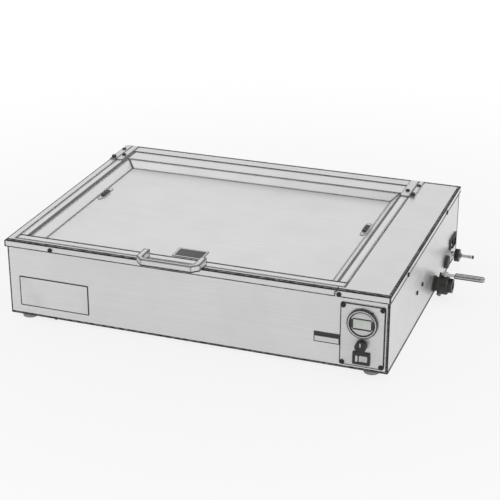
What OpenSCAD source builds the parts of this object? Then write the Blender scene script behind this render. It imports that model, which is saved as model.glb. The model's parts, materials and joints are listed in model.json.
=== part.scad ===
// Splint heating pan: a shallow heated water tank in a sheet metal case,
// with a dished lid hinged at the rear, controls at the front right and
// a drain valve, an overflow, a fuse holder and a power inlet on the right wall.
// X runs to the right, Y to the rear and Z up. The origin is the centre of
// the footprint at the level of the feet.

/* [Case] */
// Width over the rim and cover skirts
body_w = 713; // [700:1:730]
// Depth over the rim skirts
body_d = 538; // [525:1:550]
// Height of the case from its bottom flange to the top plane
body_h = 144; // [140:1:152]
// Sheet thickness of the case walls and of the base plate
case_sheet = 1.2; // [1:0.1:1.3]
// Width of the flange turned in at the top of the walls
flange_w = 12; // [11:0.5:13]
// Width of the flange turned in at the bottom of the walls
low_flange_w = 10; // [9:0.25:10.25]
// Outer bend radius of the upright case corners
case_corner_r = 2.4; // [2:0.1:3]

/* [Feet] */
// Gap between the floor and the bottom of the case
ground_gap = 7.5; // [6.5:0.5:10]
// Radius of a foot at the case
foot_top_r = 15.5; // [14.5:0.5:17]
// Radius of a foot at the floor
foot_low_r = 14; // [12:0.5:14.5]
// Centre of the left feet from the left skirt
foot_left = 34; // [31:1:38]
// Centre of the right feet from the right skirt
foot_right = 33; // [29:1:37]
// Centre of the feet from the front and rear skirts
foot_inset = 19; // [18.5:0.5:22]
// Radius of the screw recess in a foot
foot_recess_r = 6; // [5.5:0.1:7]
// Depth of the screw recess in a foot
foot_recess_h = 4.5; // [4:0.1:5]

/* [Rim frame] */
// Sheet thickness of the rim frame and the control cover
rim_sheet = 1.5; // [1.4:0.1:1.6]
// Height of the skirts
skirt_h = 13; // [12:0.5:15]
// Outer bend radius along the top edges
bend_r = 2; // [1.5:0.1:2.5]
// Rounding of the folded lower edge of a skirt
hem_r = 1.2; // [0.8:0.1:1.3]
// Width of the doubled sheet along the inner edges
hem_w = 12; // [11.5:0.1:12.2]
// Width of the left strip up to the lid
rim_left_w = 14.8; // [14.4:0.1:15.6]
// Width of the front strip up to the lid
rim_front_w = 13.7; // [13.2:0.1:14.6]
// Width of the rear strip up to the lid
rim_rear_w = 31; // [30.5:0.1:33]
// Width of the seams round the lid and the cover
seam_w = 0.5; // [0.4:0.05:0.8]
// Length of front skirt left out beside the cover
skirt_relief = 3.5; // [2.5:0.5:5]
// Width and depth of the welded corner seam
mitre_w = 0.5; // [0.4:0.05:0.7]

/* [Control cover] */
// Width of the cover right of the lid
cover_w = 82; // [80:0.5:86]
// Width of the front tab that reaches left in front of the lid
cover_tab_w = 11; // [8:0.5:14]

/* [Tank] */
// Sheet thickness of the tank
tank_sheet = 1.2; // [1.1:0.1:1.3]
// Depth of the tank below the top plane
tank_depth = 101.5; // [97:0.5:104]
// Inner tank wall from the left skirt
tank_left = 28; // [26:0.5:31]
// Inner tank wall from the front skirt
tank_front = 26; // [24:0.5:30]
// Inner tank wall from the cover seam
tank_right = 18.5; // [17:0.5:19.5]
// Inner tank wall from the rear seam of the lid
tank_rear = 26.7; // [24:0.1:30]
// Corner radius inside the tank
tank_corner_r = 9; // [7:0.5:10]

/* [Lid] */
// Sheet thickness of the lid
lid_sheet = 1.2; // [1.1:0.1:1.3]
// Height of the lid's folded edge
lid_hem_h = 2.7; // [2.6:0.05:2.75]
// Thickness of the lid's folded edge
lid_hem_t = 1.5; // [1.4:0.1:1.6]
// Width of the flat front band
front_band_w = 20; // [18:0.5:23]
// Width of the flat left rail
rail_left_w = 13.8; // [13.6:0.1:15]
// Width of the flat right rail
rail_right_w = 14.8; // [14.5:0.1:15.5]
// Width of the small bevel beside each rail
bevel_w = 5; // [4:0.5:6]
// Drop from the rails to the rear border
border_drop = 1.4; // [1.3:0.05:1.45]
// Width of the rear border
rear_border_w = 40.5; // [38:0.5:44]
// Run of the recess walls
slope_w = 16; // [14:0.5:18]
// Depth of the recess below the top plane
recess_depth = 16.2; // [14:0.2:18]
// Width of the pressed line across the rails
crease_w = 0.6; // [0.5:0.1:0.8]
// Depth of the pressed line across the rails
crease_h = 0.4; // [0.3:0.05:0.5]

/* [Lid handle] */
// Length of the handle over its legs
handle_len = 117; // [105:1:130]
// Left end of the handle from the left skirt
handle_left = 263.5; // [240:0.5:280]
// Height of the handle bar
handle_h = 13; // [11:0.5:15]
// Thickness of the grip
grip_t = 7; // [6:0.5:8]
// Reach of the grip in front of the front skirt
handle_out = 22; // [20:0.5:26]
// Width of a leg
leg_w = 11; // [10.6:0.2:13]
// Length of leg that rests on the lid
leg_seat = 7.8; // [7.4:0.1:9]
// Size of the outer corner chamfers
handle_chamfer = 12; // [10:0.5:13]
// Size of the inner corner chamfers
handle_inner_chamfer = 4.5; // [3:0.5:6]
// Clearance under the legs over the front strip
handle_relief = 0.6; // [0.5:0.05:0.8]

/* [Hinges] */
// Thickness of the hinge leaves
leaf_t = 2; // [1.8:0.1:2.2]
// Length of the leaves in front of the pin
leaf_len = 83.5; // [80:0.5:88]
// Pin centre from the rear skirt
hinge_inset = 7.5; // [7.4:0.1:8]
// Outer radius of the rolled knuckles
knuckle_r = 3; // [2.9:0.05:3.1]
// Radius of the hinge pin
pin_r = 1.5; // [1.3:0.05:1.6]
// Running clearance round the hinge pin
pin_clear = 0.05; // [0.03:0.01:0.08]
// Left edge of the left fixed leaf from the left skirt
leaf_edge = 1; // [0.8:0.1:2]
// Gap between the two leaves of a hinge
leaf_split = 0.8; // [0.7:0.05:1]
// Width of the left moving leaf
left_moving_w = 13.4; // [12.8:0.1:13.6]
// Width of the right moving leaf
right_moving_w = 17.6; // [16:0.1:18.5]
// Width of the right fixed leaf
right_fixed_w = 9.9; // [9.6:0.1:11]

/* [Front panel] */
// How much narrower the panel is than the cover
panel_less = 4; // [2:0.5:6]
// Height of the panel
panel_h = 115.9; // [113:0.1:116.5]
// Thickness of the panel
panel_t = 2; // [1.5:0.1:2.5]
// Right edge of the panel from the right skirt
panel_right = 8.1; // [7.5:0.1:10]
// Bottom edge of the panel above the case bottom
panel_low = 7.2; // [6.8:0.1:8]
// Corner radius of the panel
panel_r = 4; // [3:0.5:6]
// Screw centre from the panel's side and bottom edges
panel_screw_in = 5.2; // [4.8:0.1:6]

/* [Thermometer] */
// Height of the thermometer centre above the case bottom
gauge_up = 88.9; // [87:0.1:91]
// Radius of the bezel
gauge_r = 26.8; // [25.5:0.1:27.5]
// Projection of the bezel
gauge_out = 5; // [4:0.5:7]
// Radius of the bezel's inner edge
gauge_inner_r = 21.5; // [20.5:0.1:22.5]
// Radius of the body behind the panel
gauge_body_r = 23.5; // [22.8:0.1:23.8]
// Depth of the body behind the panel
gauge_body_len = 30; // [24:1:36]
// Width of the display window
window_w = 31; // [28:0.5:33]
// Height of the display window
window_h = 16.5; // [14:0.5:18]

/* [Thermostat] */
// Height of the knob centre above the case bottom
knob_up = 49; // [48:0.1:50]
// Radius of the knob
knob_r = 10; // [9:0.1:11]
// Projection of the knob from the panel
knob_out = 12; // [11:0.5:14]
// Number of grip flutes round the knob
knob_flutes = 24; // [12:2:30]
// Radius of a grip flute
flute_r = 0.6; // [0.4:0.05:0.7]
// Radius of the thermostat shaft
shaft_r = 3; // [2.8:0.05:3.2]

/* [Rocker switch] */
// Height of the switch centre above the case bottom
rocker_up = 24; // [23.6:0.1:24.4]
// Width of the switch bezel
rocker_bezel_w = 30.5; // [29.5:0.1:31]
// Height of the switch bezel
rocker_bezel_h = 23.4; // [22.5:0.1:24]
// Projection of the switch bezel
rocker_bezel_t = 3; // [2.5:0.1:3.5]
// Width of the rocker
rocker_w = 20.4; // [19.5:0.1:21]
// Height of the rocker
rocker_h = 10.8; // [10:0.1:11.5]
// Tilt of the rocker to either side of its middle
rocker_tilt = 6; // [4:0.5:7]

/* [Plates] */
// Width of the name plate
name_w = 136.2; // [120:0.1:145]
// Height of the name plate
name_h = 57.7; // [50:0.1:62]
// Name plate's left edge from the left skirt
name_left = 24.4; // [20:0.1:35]
// Name plate's bottom edge above the case bottom
name_low = 18.3; // [15:0.1:24]
// Width of the tag plate
tag_w = 45.4; // [40:0.1:50]
// Height of the tag plate
tag_h = 19.1; // [16:0.1:22]
// Gap between the tag plate and the front panel
tag_gap = 0.5; // [0.4:0.1:2]
// Tag plate's bottom edge above the case bottom
tag_low = 41.4; // [36:0.1:48]
// Thickness of the name, tag and label plates
plate_t = 0.8; // [0.6:0.05:1.2]
// Width of the label plate on the lid
label_w = 57; // [50:0.5:64]
// Depth of the label plate on the lid
label_d = 37; // [30:0.5:42]
// Left edge of the label plate from the left skirt
label_left = 295; // [280:0.5:310]
// Gap from the foot of the front slope to the label plate
label_gap = 20; // [12:0.5:26]

/* [Lid strips] */
// Length of an obround strip
strip_len = 60; // [54:0.5:66]
// Width of an obround strip
strip_w = 8.6; // [8:0.1:10]
// Front end of the strips from the front skirt
strip_front = 271; // [250:1:290]
// Gap from the foot of the side slope to a strip
strip_gap = 4; // [3:0.1:6]
// Length of the dark block on a strip
block_len = 27; // [22:0.5:31]
// Height of the dark block
block_h = 3; // [2:0.1:4]

/* [Drain valve] */
// Centre of the drain from the rear skirt
drain_back = 196; // [188:0.5:203]
// Centre of the drain above the case bottom
drain_up = 19.8; // [19.5:0.1:21]
// Outer radius of the drain pipe
pipe_r = 9; // [8.6:0.1:9.4]
// Wall of the drain pipe
pipe_wall = 1.5; // [1.2:0.1:1.8]
// Radius of the round flange on the wall
nut_flange_r = 15.5; // [15:0.1:17]
// Thickness of the round flange on the wall
nut_flange_t = 3; // [2.5:0.1:3.5]
// Width of the bulkhead nut across its flats
nut_af = 26; // [25:0.5:28]
// Thickness of the bulkhead nut's hexagon
nut_hex_t = 6.5; // [6:0.1:7.5]
// Width of the valve inlet's hexagon across its flats
inlet_af = 43; // [41:0.5:44]
// Radius of the valve body
valve_r = 18; // [17:0.1:18.4]
// Length of the valve body
valve_len = 18; // [17.6:0.1:19]
// Width of the outlet's hexagon across its flats
outlet_af = 26; // [25:0.5:28]
// Length of the outlet's hexagon
outlet_len = 7.5; // [7:0.1:9]
// Radius of the outlet bore
outlet_r = 7.6; // [7.2:0.1:8]
// Depth of the outlet bore
outlet_depth = 5.5; // [4.5:0.1:5.8]
// Radius of the valve ball
ball_r = 8; // [7.7:0.1:8.1]
// Radius of the passage through the ball
passage_r = 5.2; // [4.4:0.1:5.4]
// Running clearance round the ball and its stem
valve_clear = 0.3; // [0.25:0.01:0.35]
// Radius of the valve stem
stem_r = 4; // [3.7:0.1:4.2]
// Reach of the lever from the stem
lever_reach = 73.75; // [70:0.25:80]
// Length of the lever's grip
lever_grip_len = 56; // [50:0.5:57]
// Width of the lever's grip
lever_grip_w = 14; // [12:0.5:16]
// Thickness of the lever's grip
lever_grip_t = 5.6; // [5:0.1:6]
// Thickness of the lever plate
lever_t = 2.5; // [2:0.1:2.8]
// Width of the lever plate inside the grip
lever_w = 9; // [8:0.1:10]

/* [Overflow] */
// Centre of the overflow from the rear skirt
overflow_back = 63; // [62:0.5:64]
// Centre of the overflow above the case bottom
overflow_up = 24.5; // [24:0.1:25]
// Radius of the hub on the wall
hub_r = 6.75; // [6:0.05:7.5]
// Length of the hub
hub_len = 10; // [8:0.1:11]
// Radius of the knurled nut
knurl_r = 12.4; // [11.5:0.1:12.8]
// Length of the knurled nut
knurl_len = 9; // [8:0.1:10]
// Radius of the nozzle tube
nozzle_r = 3; // [2.7:0.05:3.3]
// Reach of the nozzle tube from the wall
nozzle_reach = 46.5; // [42:0.5:52]
// Radius of the tube bore
nozzle_bore_r = 2; // [1.6:0.05:2.2]
// Radius of the collar at the nozzle's end
collar_r = 3.5; // [3.4:0.05:4]
// Length of the collar at the nozzle's end
collar_len = 8; // [6:0.1:10]

/* [Fuse holder] */
// Centre of the fuse holder from the rear skirt
fuse_back = 105; // [102:0.5:110]
// Centre of the fuse holder above the case bottom
fuse_up = 26; // [24:0.1:28]
// Radius of the ribbed cap
fuse_r = 13; // [12:0.1:14]
// Projection of the ribbed cap
fuse_out = 7; // [6:0.1:9]
// Number of ribs round the cap
fuse_ribs = 16; // [10:2:20]

/* [Power inlet] */
// Centre of the inlet from the rear skirt
inlet_back = 51; // [49:0.5:52]
// Centre of the inlet above the case bottom
inlet_up = 48; // [47.5:0.1:49]
// Width of the inlet flange
inlet_w = 52; // [50:0.5:53]
// Height of the inlet flange
inlet_h = 22; // [21:0.1:22.4]
// Thickness of the inlet flange
inlet_t = 3; // [2.5:0.1:4]
// Width of the inlet's socket
socket_w = 24.5; // [23.5:0.1:25]
// Height of the inlet's socket
socket_h = 16.5; // [15.5:0.1:17]
// Depth of the inlet's socket
socket_depth = 15; // [13:0.5:17]

/* [Screws] */
// Shank radius of the small screws
screw_r = 2; // [1.8:0.05:2.1]
// Clearance of a screw in its hole
screw_clear = 0.2; // [0.15:0.01:0.25]
// Head radius of the small screws
head_r = 4.2; // [3.8:0.05:4.4]
// Head height of the small screws
head_h = 2.2; // [1.8:0.05:2.6]
// Fit clearance of pieces that seat in one another
fit = 0.2; // [0.15:0.01:0.25]

/* [Hidden] */
$fn = 48;

// Overrun of every cut
over = 1;

// Levels and faces of the case
top_z = ground_gap + body_h;
wall_in = 2 * rim_sheet;
case_x0 = wall_in;
case_x1 = body_w - rim_sheet;
case_y0 = wall_in;
case_y1 = body_d - wall_in;
ledge_z = top_z - 2 * rim_sheet;
case_top = ledge_z - tank_sheet;
inner_x0 = case_x0 + case_sheet;
inner_x1 = case_x1 - case_sheet;
inner_y0 = case_y0 + case_sheet;
inner_y1 = case_y1 - case_sheet;
base_z = ground_gap + case_sheet;
skirt_z = top_z - skirt_h;

// Seams of the rim frame, the cover and the lid
half_seam = seam_w / 2;
cover_x = body_w - cover_w;
tab_x = cover_x - cover_tab_w;
rear_y = body_d - rim_rear_w;
lid_x0 = rim_left_w + half_seam;
lid_x1 = cover_x - half_seam;
lid_y0 = rim_front_w + half_seam;
lid_y1 = rear_y - half_seam;
hem_y1 = rear_y + half_seam + hem_w;

// Tank walls
tank_x0 = tank_left;
tank_x1 = cover_x - tank_right;
tank_y0 = tank_front;
tank_y1 = rear_y - tank_rear;
tank_z = top_z - tank_depth;
tank_under = tank_z - tank_sheet;
tank_flange_x1 = cover_x + hem_w + rim_sheet;

// Lid outline lines
rail_x0 = lid_x0 + rail_left_w;
bevel_x0 = rail_x0 + bevel_w;
rail_x1 = lid_x1 - rail_right_w;
bevel_x1 = rail_x1 - bevel_w;
bevel_foot = 0.4;
side_x0 = bevel_x0 + bevel_foot;
side_x1 = bevel_x1 - bevel_foot;
floor_x0 = side_x0 + slope_w;
floor_x1 = side_x1 - slope_w;
band_y = lid_y0 + front_band_w;
border_y = lid_y1 - rear_border_w;
floor_y0 = band_y + slope_w;
floor_y1 = border_y - slope_w;
floor_z = top_z - recess_depth;

// Hinge lines
hinge_y = body_d - hinge_inset;
hinge_z = top_z + leaf_t - knuckle_r;
leaf_y0 = hinge_y - leaf_len;
notch_clear = 0.5;
leaf_relief = 0.4;
left_fixed = [leaf_edge, rim_left_w - leaf_split / 2];
left_moving = [left_fixed[1] + leaf_split, left_fixed[1] + leaf_split + left_moving_w];
right_fixed = [cover_x + leaf_split / 2, cover_x + leaf_split / 2 + right_fixed_w];
right_moving = [right_fixed[0] - leaf_split - right_moving_w, right_fixed[0] - leaf_split];
knuckle_in = 2 * rim_sheet;
left_notch = [leaf_edge + knuckle_in - notch_clear, left_moving[1] + notch_clear];
right_notch = [right_moving[0] - notch_clear, right_fixed[1] + notch_clear];

// Hinge fasteners
bolt_af = 8;
bolt_h = 3.4;
washer_r = 4.9;
washer_t = 1;
lid_screw_h = 2.8;
clinch_r = 4;
clinch_t = 1.2;
pan_spot_in = 24.5;
bolt_spot_share = 0.1;
lid_spot_share = 0.32;
pan_spot_y = hinge_y - pan_spot_in;
bolt_spot_y = leaf_y0 + leaf_len * bolt_spot_share;
lid_spot_y = leaf_y0 + leaf_len * lid_spot_share;
fixed_spot_share = 0.42;
moving_spot_share = 0.42;
left_fixed_x = left_fixed[0] + (left_fixed[1] - left_fixed[0]) * fixed_spot_share;
right_fixed_x = right_fixed[0] + (right_fixed[1] - right_fixed[0]) / 2;
left_moving_x = left_moving[0] + left_moving_w * moving_spot_share;
right_moving_x = right_moving[0] + right_moving_w / 2;
leaf_hole_r = screw_r + screw_clear;

// Handle lines
handle_x1 = handle_left + handle_len;
handle_y1 = lid_y0 + leg_seat;
handle_screw_in = 3.3;
handle_screw_r = 1.5;
handle_head_r = 2.8;
handle_head_h = 1.1;
handle_screw_len = 8;

// Front panel lines
panel_x1 = body_w - panel_right;
panel_w = cover_w - panel_less;
panel_x0 = panel_x1 - panel_w;
panel_z0 = ground_gap + panel_low;
panel_z1 = panel_z0 + panel_h;
panel_y = case_y0 - panel_t;
control_x = (panel_x0 + panel_x1) / 2;
gauge_z = ground_gap + gauge_up;
knob_z = ground_gap + knob_up;
rocker_z = ground_gap + rocker_up;

// Drain, overflow, fuse and inlet on the right wall
wall_x = case_x1;
drain_y = body_d - drain_back;
overflow_y = body_d - overflow_back;
fuse_y = body_d - fuse_back;
inlet_y = body_d - inlet_back;
drain_z = ground_gap + drain_up;
overflow_z = ground_gap + overflow_up;
fuse_z = ground_gap + fuse_up;
inlet_z = ground_gap + inlet_up;
nut_out = nut_flange_t + nut_hex_t;
body_gap = 0.3;
valve_start = nut_out + body_gap;
stem_out = valve_start + valve_len / 2 + rim_sheet;
valve_end_out = valve_start + valve_len;
lever_x1 = wall_x + stem_out + lever_reach;

// Footprint centre
x_low = -head_h;
x_high = lever_x1;
y_low = -handle_out;
y_high = body_d + head_h;
x_mid = (x_low + x_high) / 2;
y_mid = (y_low + y_high) / 2;

module place() translate([-x_mid, -y_mid, 0]) children();

// A box between two planes on each axis
module box(x0, x1, y0, y1, z0, z1)
  translate([x0, y0, z0]) cube([x1 - x0, y1 - y0, z1 - z0]);

// A flat outline with rounded corners
module round_rect(x0, x1, y0, y1, r) {
  translate([x0 + r, y0]) square([x1 - x0 - 2 * r, y1 - y0]);
  translate([x0, y0 + r]) square([x1 - x0, y1 - y0 - 2 * r]);
  for (x = [x0 + r, x1 - r], y = [y0 + r, y1 - r]) translate([x, y]) circle(r);
}

// An upright block with rounded corners
module round_box(x0, x1, y0, y1, z0, z1, r)
  translate([0, 0, z0]) linear_extrude(z1 - z0) round_rect(x0, x1, y0, y1, r);

// Extrusions of a drawing along X, and along Y towards the rear
module along_x(x0, x1)
  translate([x0, 0, 0]) rotate([90, 0, 90]) linear_extrude(x1 - x0) children();
module along_y(y0, y1)
  translate([0, y1, 0]) rotate([90, 0, 0]) linear_extrude(y1 - y0) children();

// A round bar that points along X, along -Y or along Z
module rod_x(x0, x1, y, z, r)
  translate([x0, y, z]) rotate([0, 90, 0]) cylinder(h = x1 - x0, r = r);
module rod_y(x, y0, y1, z, r)
  translate([x, y1, z]) rotate([90, 0, 0]) cylinder(h = y1 - y0, r = r);
module rod_z(x, y, z0, z1, r)
  translate([x, y, z0]) cylinder(h = z1 - z0, r = r);

// A hexagon with its flats square to Y
module hexagon(af)
  rotate(30) circle(r = af / sqrt(3), $fn = 6);

// A pan head screw that stands on z = 0 with its shank below
module pan_screw(r, h, shank_r, shank_len) {
  crown_share = 0.35;
  slot_w_share = 0.2;
  slot_len_share = 1.1;
  slot_h_share = 0.4;
  difference() {
    rotate_extrude() {
      square([r, h * (1 - crown_share)]);
      square([r * (1 - crown_share), h]);
      intersection() {
        translate([r * (1 - crown_share), h * (1 - crown_share)])
          scale([1, h / r]) circle(r * crown_share);
        square([r, h]);
      }
    }
    for (a = [0, 90]) rotate(a)
      translate([-r * slot_len_share / 2, -r * slot_w_share / 2, h * (1 - slot_h_share)])
        cube([r * slot_len_share, r * slot_w_share, h]);
  }
  translate([0, 0, -shank_len]) cylinder(h = shank_len, r = shank_r);
}

// The same screw seen from the front, the right, the left, the rear and below
module screw_front(x, y, z, len) translate([x, y, z]) rotate([90, 0, 0])
  pan_screw(head_r, head_h, screw_r, len);
module screw_rear(x, y, z, len) translate([x, y, z]) rotate([-90, 0, 0])
  pan_screw(head_r, head_h, screw_r, len);
module screw_right(x, y, z, len) translate([x, y, z]) rotate([0, 90, 0])
  pan_screw(head_r, head_h, screw_r, len);
module screw_left(x, y, z, len) translate([x, y, z]) rotate([0, -90, 0])
  pan_screw(head_r, head_h, screw_r, len);
module screw_below(x, y, z, len) translate([x, y, z]) rotate([180, 0, 0])
  pan_screw(head_r, head_h, screw_r, len);

// Places of the screws along the skirts
rim_screw_drop_share = 0.6;
rim_screw_z = top_z - skirt_h * rim_screw_drop_share;
rim_front_share = 0.1272;
cover_front_in = 4;
cover_front_x = tab_x + cover_front_in;
rim_side_shares = [0.17, 0.83];
rim_rear_shares = [0.1272, 0.5];
cover_rear_share = 0.478;
cover_rear_x = body_w - cover_w * cover_rear_share;
cover_side_shares = [0.214, 0.77];
skirt_screw_len = 2 * rim_sheet + case_sheet + head_h;
cover_screw_len = rim_sheet + case_sheet + head_h;

// Places of the base screws
base_front_share = 0.129;
base_side_shares = [0.15, 0.5, 0.85];
base_rear_shares = [0.129, 0.5, 0.87];
base_screw_in = low_flange_w / 2;
base_screw_len = 2 * case_sheet + head_h;

module base_spots() {
  translate([body_w * base_front_share, case_y0 + base_screw_in, 0]) children();
  for (s = base_rear_shares)
    translate([body_w * s, case_y1 - base_screw_in, 0]) children();
  for (s = base_side_shares) {
    translate([case_x0 + base_screw_in, body_d * s, 0]) children();
    translate([case_x1 - base_screw_in, body_d * s, 0]) children();
  }
}

module foot_spots()
  for (x = [foot_left, body_w - foot_right], y = [foot_inset, body_d - foot_inset])
    translate([x, y, 0]) children();

module panel_spots()
  for (x = [panel_x0 + panel_screw_in, panel_x1 - panel_screw_in])
    for (z = [panel_z0 + panel_screw_in / 2 + screw_r, panel_z1 - panel_screw_in])
      translate([x, 0, z]) children();

// Clear holes through the skirts and the case walls
module skirt_holes() {
  r = screw_r + screw_clear;
  for (x = [body_w * rim_front_share, cover_front_x])
    rod_y(x, -over, inner_y0 + over, rim_screw_z, r);
  for (x = [body_w * rim_rear_shares[0], body_w * rim_rear_shares[1], cover_rear_x])
    rod_y(x, inner_y1 - over, body_d + over, rim_screw_z, r);
  for (s = rim_side_shares)
    rod_x(-over, inner_x0 + over, body_d * s, rim_screw_z, r);
  for (s = cover_side_shares)
    rod_x(inner_x1 - over, body_w + over, body_d * s, rim_screw_z, r);
}

// Clear holes of the fixed hinge leaves, down through the stack of sheets
module hinge_holes(z0, z1)
  for (p = [[left_fixed_x, pan_spot_y], [left_fixed_x, bolt_spot_y],
            [right_fixed_x, pan_spot_y], [right_fixed_x, bolt_spot_y]])
    rod_z(p[0], p[1], z0, z1, leaf_hole_r);

// Notches round the hinge knuckles
module hinge_notches(z0, z1)
  for (n = [left_notch, right_notch])
    box(n[0], n[1], hinge_y - knuckle_r - notch_clear, hinge_y + knuckle_r + notch_clear, z0, z1);

module case_shell() {
  color("gainsboro") place() difference() {
    round_box(case_x0, case_x1, case_y0, case_y1, ground_gap, case_top, case_corner_r);
    round_box(inner_x0, inner_x1, inner_y0, inner_y1, ground_gap + case_sheet,
      case_top - case_sheet, case_corner_r - case_sheet);
    box(case_x0 + flange_w, case_x1 - flange_w, case_y0 + flange_w, case_y1 - flange_w,
      base_z, case_top + over);
    box(case_x0 + low_flange_w, case_x1 - low_flange_w, case_y0 + low_flange_w,
      case_y1 - low_flange_w, ground_gap - over, base_z + over);
    skirt_holes();
    hinge_holes(case_top - case_sheet - over, case_top + over);
    for (n = [left_notch, right_notch])
      box(n[0], n[1], hinge_y - knuckle_r, hinge_y + knuckle_r,
        case_top - case_sheet - over, case_top + over);
    base_spots() rod_z(0, 0, ground_gap - over, base_z + over, leaf_hole_r);
    panel_cuts(case_y0 - over, inner_y0 + over);
    rod_x(inner_x1 - over, case_x1 + over, drain_y, drain_z, pipe_r + fit);
    rod_x(inner_x1 - over, case_x1 + over, overflow_y, overflow_z, nozzle_r + fit);
    rod_x(inner_x1 - over, case_x1 + over, fuse_y, fuse_z, fuse_body_r + fit);
    box(inner_x1 - over, case_x1 + over, inlet_y - inlet_body_w / 2 - fit,
      inlet_y + inlet_body_w / 2 + fit, inlet_z - inlet_body_h / 2 - fit,
      inlet_z + inlet_body_h / 2 + fit);
    for (s = [-1, 1])
      rod_x(inner_x1 - over, case_x1 + over, inlet_y + s * inlet_screw_in, inlet_z,
        inlet_screw_r + screw_clear);
    for (y = side_screw_y)
      rod_x(inner_x1 - over, case_x1 + over, y, side_screw_z, leaf_hole_r);
  }
}

module base_plate() {
  color("silver") place() difference() {
    round_box(inner_x0 + fit, inner_x1 - fit, inner_y0 + fit, inner_y1 - fit,
      base_z, base_z + case_sheet, case_corner_r);
    base_spots() rod_z(0, 0, base_z - over, base_z + case_sheet + over, leaf_hole_r);
    foot_spots() rod_z(0, 0, base_z - over, base_z + case_sheet + over, leaf_hole_r);
  }
}

module base_screws() {
  color("dimgray") place() base_spots()
    screw_below(0, 0, ground_gap, base_screw_len);
}

foot_h = ground_gap + case_sheet;
foot_screw_r = 4;
foot_screw_h = 2.4;

module feet() {
  color("dimgray") place() difference() {
    foot_spots() difference() {
      cylinder(h = foot_h, r1 = foot_low_r, r2 = foot_top_r);
      translate([0, 0, -over]) cylinder(h = foot_recess_h + over, r = foot_recess_r);
      translate([0, 0, -over]) cylinder(h = foot_h + 2 * over, r = screw_r + screw_clear);
    }
    // Step round the flange turned in at the bottom of the walls
    difference() {
      box(-over, body_w + over, -over, body_d + over, ground_gap, base_z + over);
      box(case_x0 + low_flange_w + fit, case_x1 - low_flange_w - fit,
        case_y0 + low_flange_w + fit, case_y1 - low_flange_w - fit,
        ground_gap - over, base_z + 2 * over);
    }
  }
}

module foot_screws() {
  color("gray") place() foot_spots() translate([0, 0, foot_recess_h]) rotate([180, 0, 0])
    pan_screw(foot_screw_r, foot_screw_h, screw_r, foot_h - foot_recess_h + 2 * case_sheet);
}

// Outer form of the rim frame and the cover: a shallow cap with rounded edges
module cap_profile(w) {
  translate([0, hem_r]) square([w, skirt_h - hem_r - bend_r]);
  translate([hem_r, 0]) square([w - 2 * hem_r, hem_r]);
  translate([bend_r, skirt_h - bend_r]) square([w - 2 * bend_r, bend_r]);
  for (x = [hem_r, w - hem_r]) translate([x, hem_r]) circle(hem_r);
  for (x = [bend_r, w - bend_r]) translate([x, skirt_h - bend_r]) circle(bend_r);
}

module cap_block() translate([0, 0, skirt_z]) intersection() {
  along_x(0, body_w) cap_profile(body_d);
  along_y(0, body_d) cap_profile(body_w);
}

module rim_frame() {
  z0 = skirt_z - over;
  z1 = top_z + over;
  color("gainsboro") place() difference() {
    cap_block();
    box(rim_left_w - half_seam, body_w + over, rim_front_w - half_seam, rear_y + half_seam, z0, z1);
    box(tab_x - half_seam, body_w + over, -over, rim_front_w + over, z0, z1);
    box(cover_x - half_seam, body_w + over, rear_y - over, body_d + over, z0, z1);
    box(wall_in, body_w + over, wall_in, body_d - wall_in, z0, ledge_z);
    box(wall_in, body_w + over, hem_y1, body_d - wall_in, z0, top_z - rim_sheet);
    box(tab_x - skirt_relief, body_w, -over, wall_in + over, z0, ledge_z);
    box(cover_x - skirt_relief, body_w, body_d - wall_in - over, body_d + over, z0, ledge_z);
    hinge_notches(ledge_z, z1);
    hinge_holes(z0, z1);
    skirt_holes();
    mitre_seam();
  }
}

// The welded seam across the front left corner
module mitre_seam() {
  run = sqrt(rim_left_w * rim_left_w + rim_front_w * rim_front_w);
  translate([0, 0, top_z - mitre_w]) rotate(atan2(rim_front_w, rim_left_w))
    translate([bend_r, -mitre_w / 2, 0]) cube([run - bend_r + over, mitre_w, mitre_w + over]);
}

module rim_screws() {
  color("dimgray") place() {
    screw_front(body_w * rim_front_share, 0, rim_screw_z, skirt_screw_len);
    for (s = rim_side_shares) screw_left(0, body_d * s, rim_screw_z, skirt_screw_len);
    for (s = rim_rear_shares) screw_rear(body_w * s, body_d, rim_screw_z, skirt_screw_len);
  }
}

module control_cover() {
  z0 = skirt_z - over;
  z1 = top_z + over;
  color("gainsboro") place() difference() {
    cap_block();
    box(-over, cover_x + half_seam, rim_front_w - half_seam, body_d + over, z0, z1);
    box(-over, tab_x + half_seam, -over, rim_front_w + over, z0, z1);
    box(-over, body_w - rim_sheet, wall_in, body_d - wall_in, z0, ledge_z);
    box(cover_x + half_seam + hem_w, body_w - rim_sheet, wall_in, body_d - wall_in,
      z0, top_z - rim_sheet);
    box(cover_x - over, body_w - rim_sheet, hem_y1, body_d - wall_in, z0, top_z - rim_sheet);
    hinge_notches(ledge_z, z1);
    hinge_holes(z0, z1);
    skirt_holes();
  }
}

module cover_screws() {
  color("dimgray") place() {
    screw_front(cover_front_x, 0, rim_screw_z, skirt_screw_len);
    screw_rear(cover_rear_x, body_d, rim_screw_z, skirt_screw_len);
    for (s = cover_side_shares) screw_right(body_w, body_d * s, rim_screw_z, cover_screw_len);
  }
}

// Drain and overflow positions in the tank
drain_bend_r = 16;
drain_back_share = 0.065;
drain_x = tank_x1 - (tank_x1 - tank_x0) * drain_back_share;
overflow_shift = 15;
overflow_drop = 26;
overflow_tube_r = 4.5;
overflow_wall = 1;
overflow_bend_r = 12;

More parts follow.
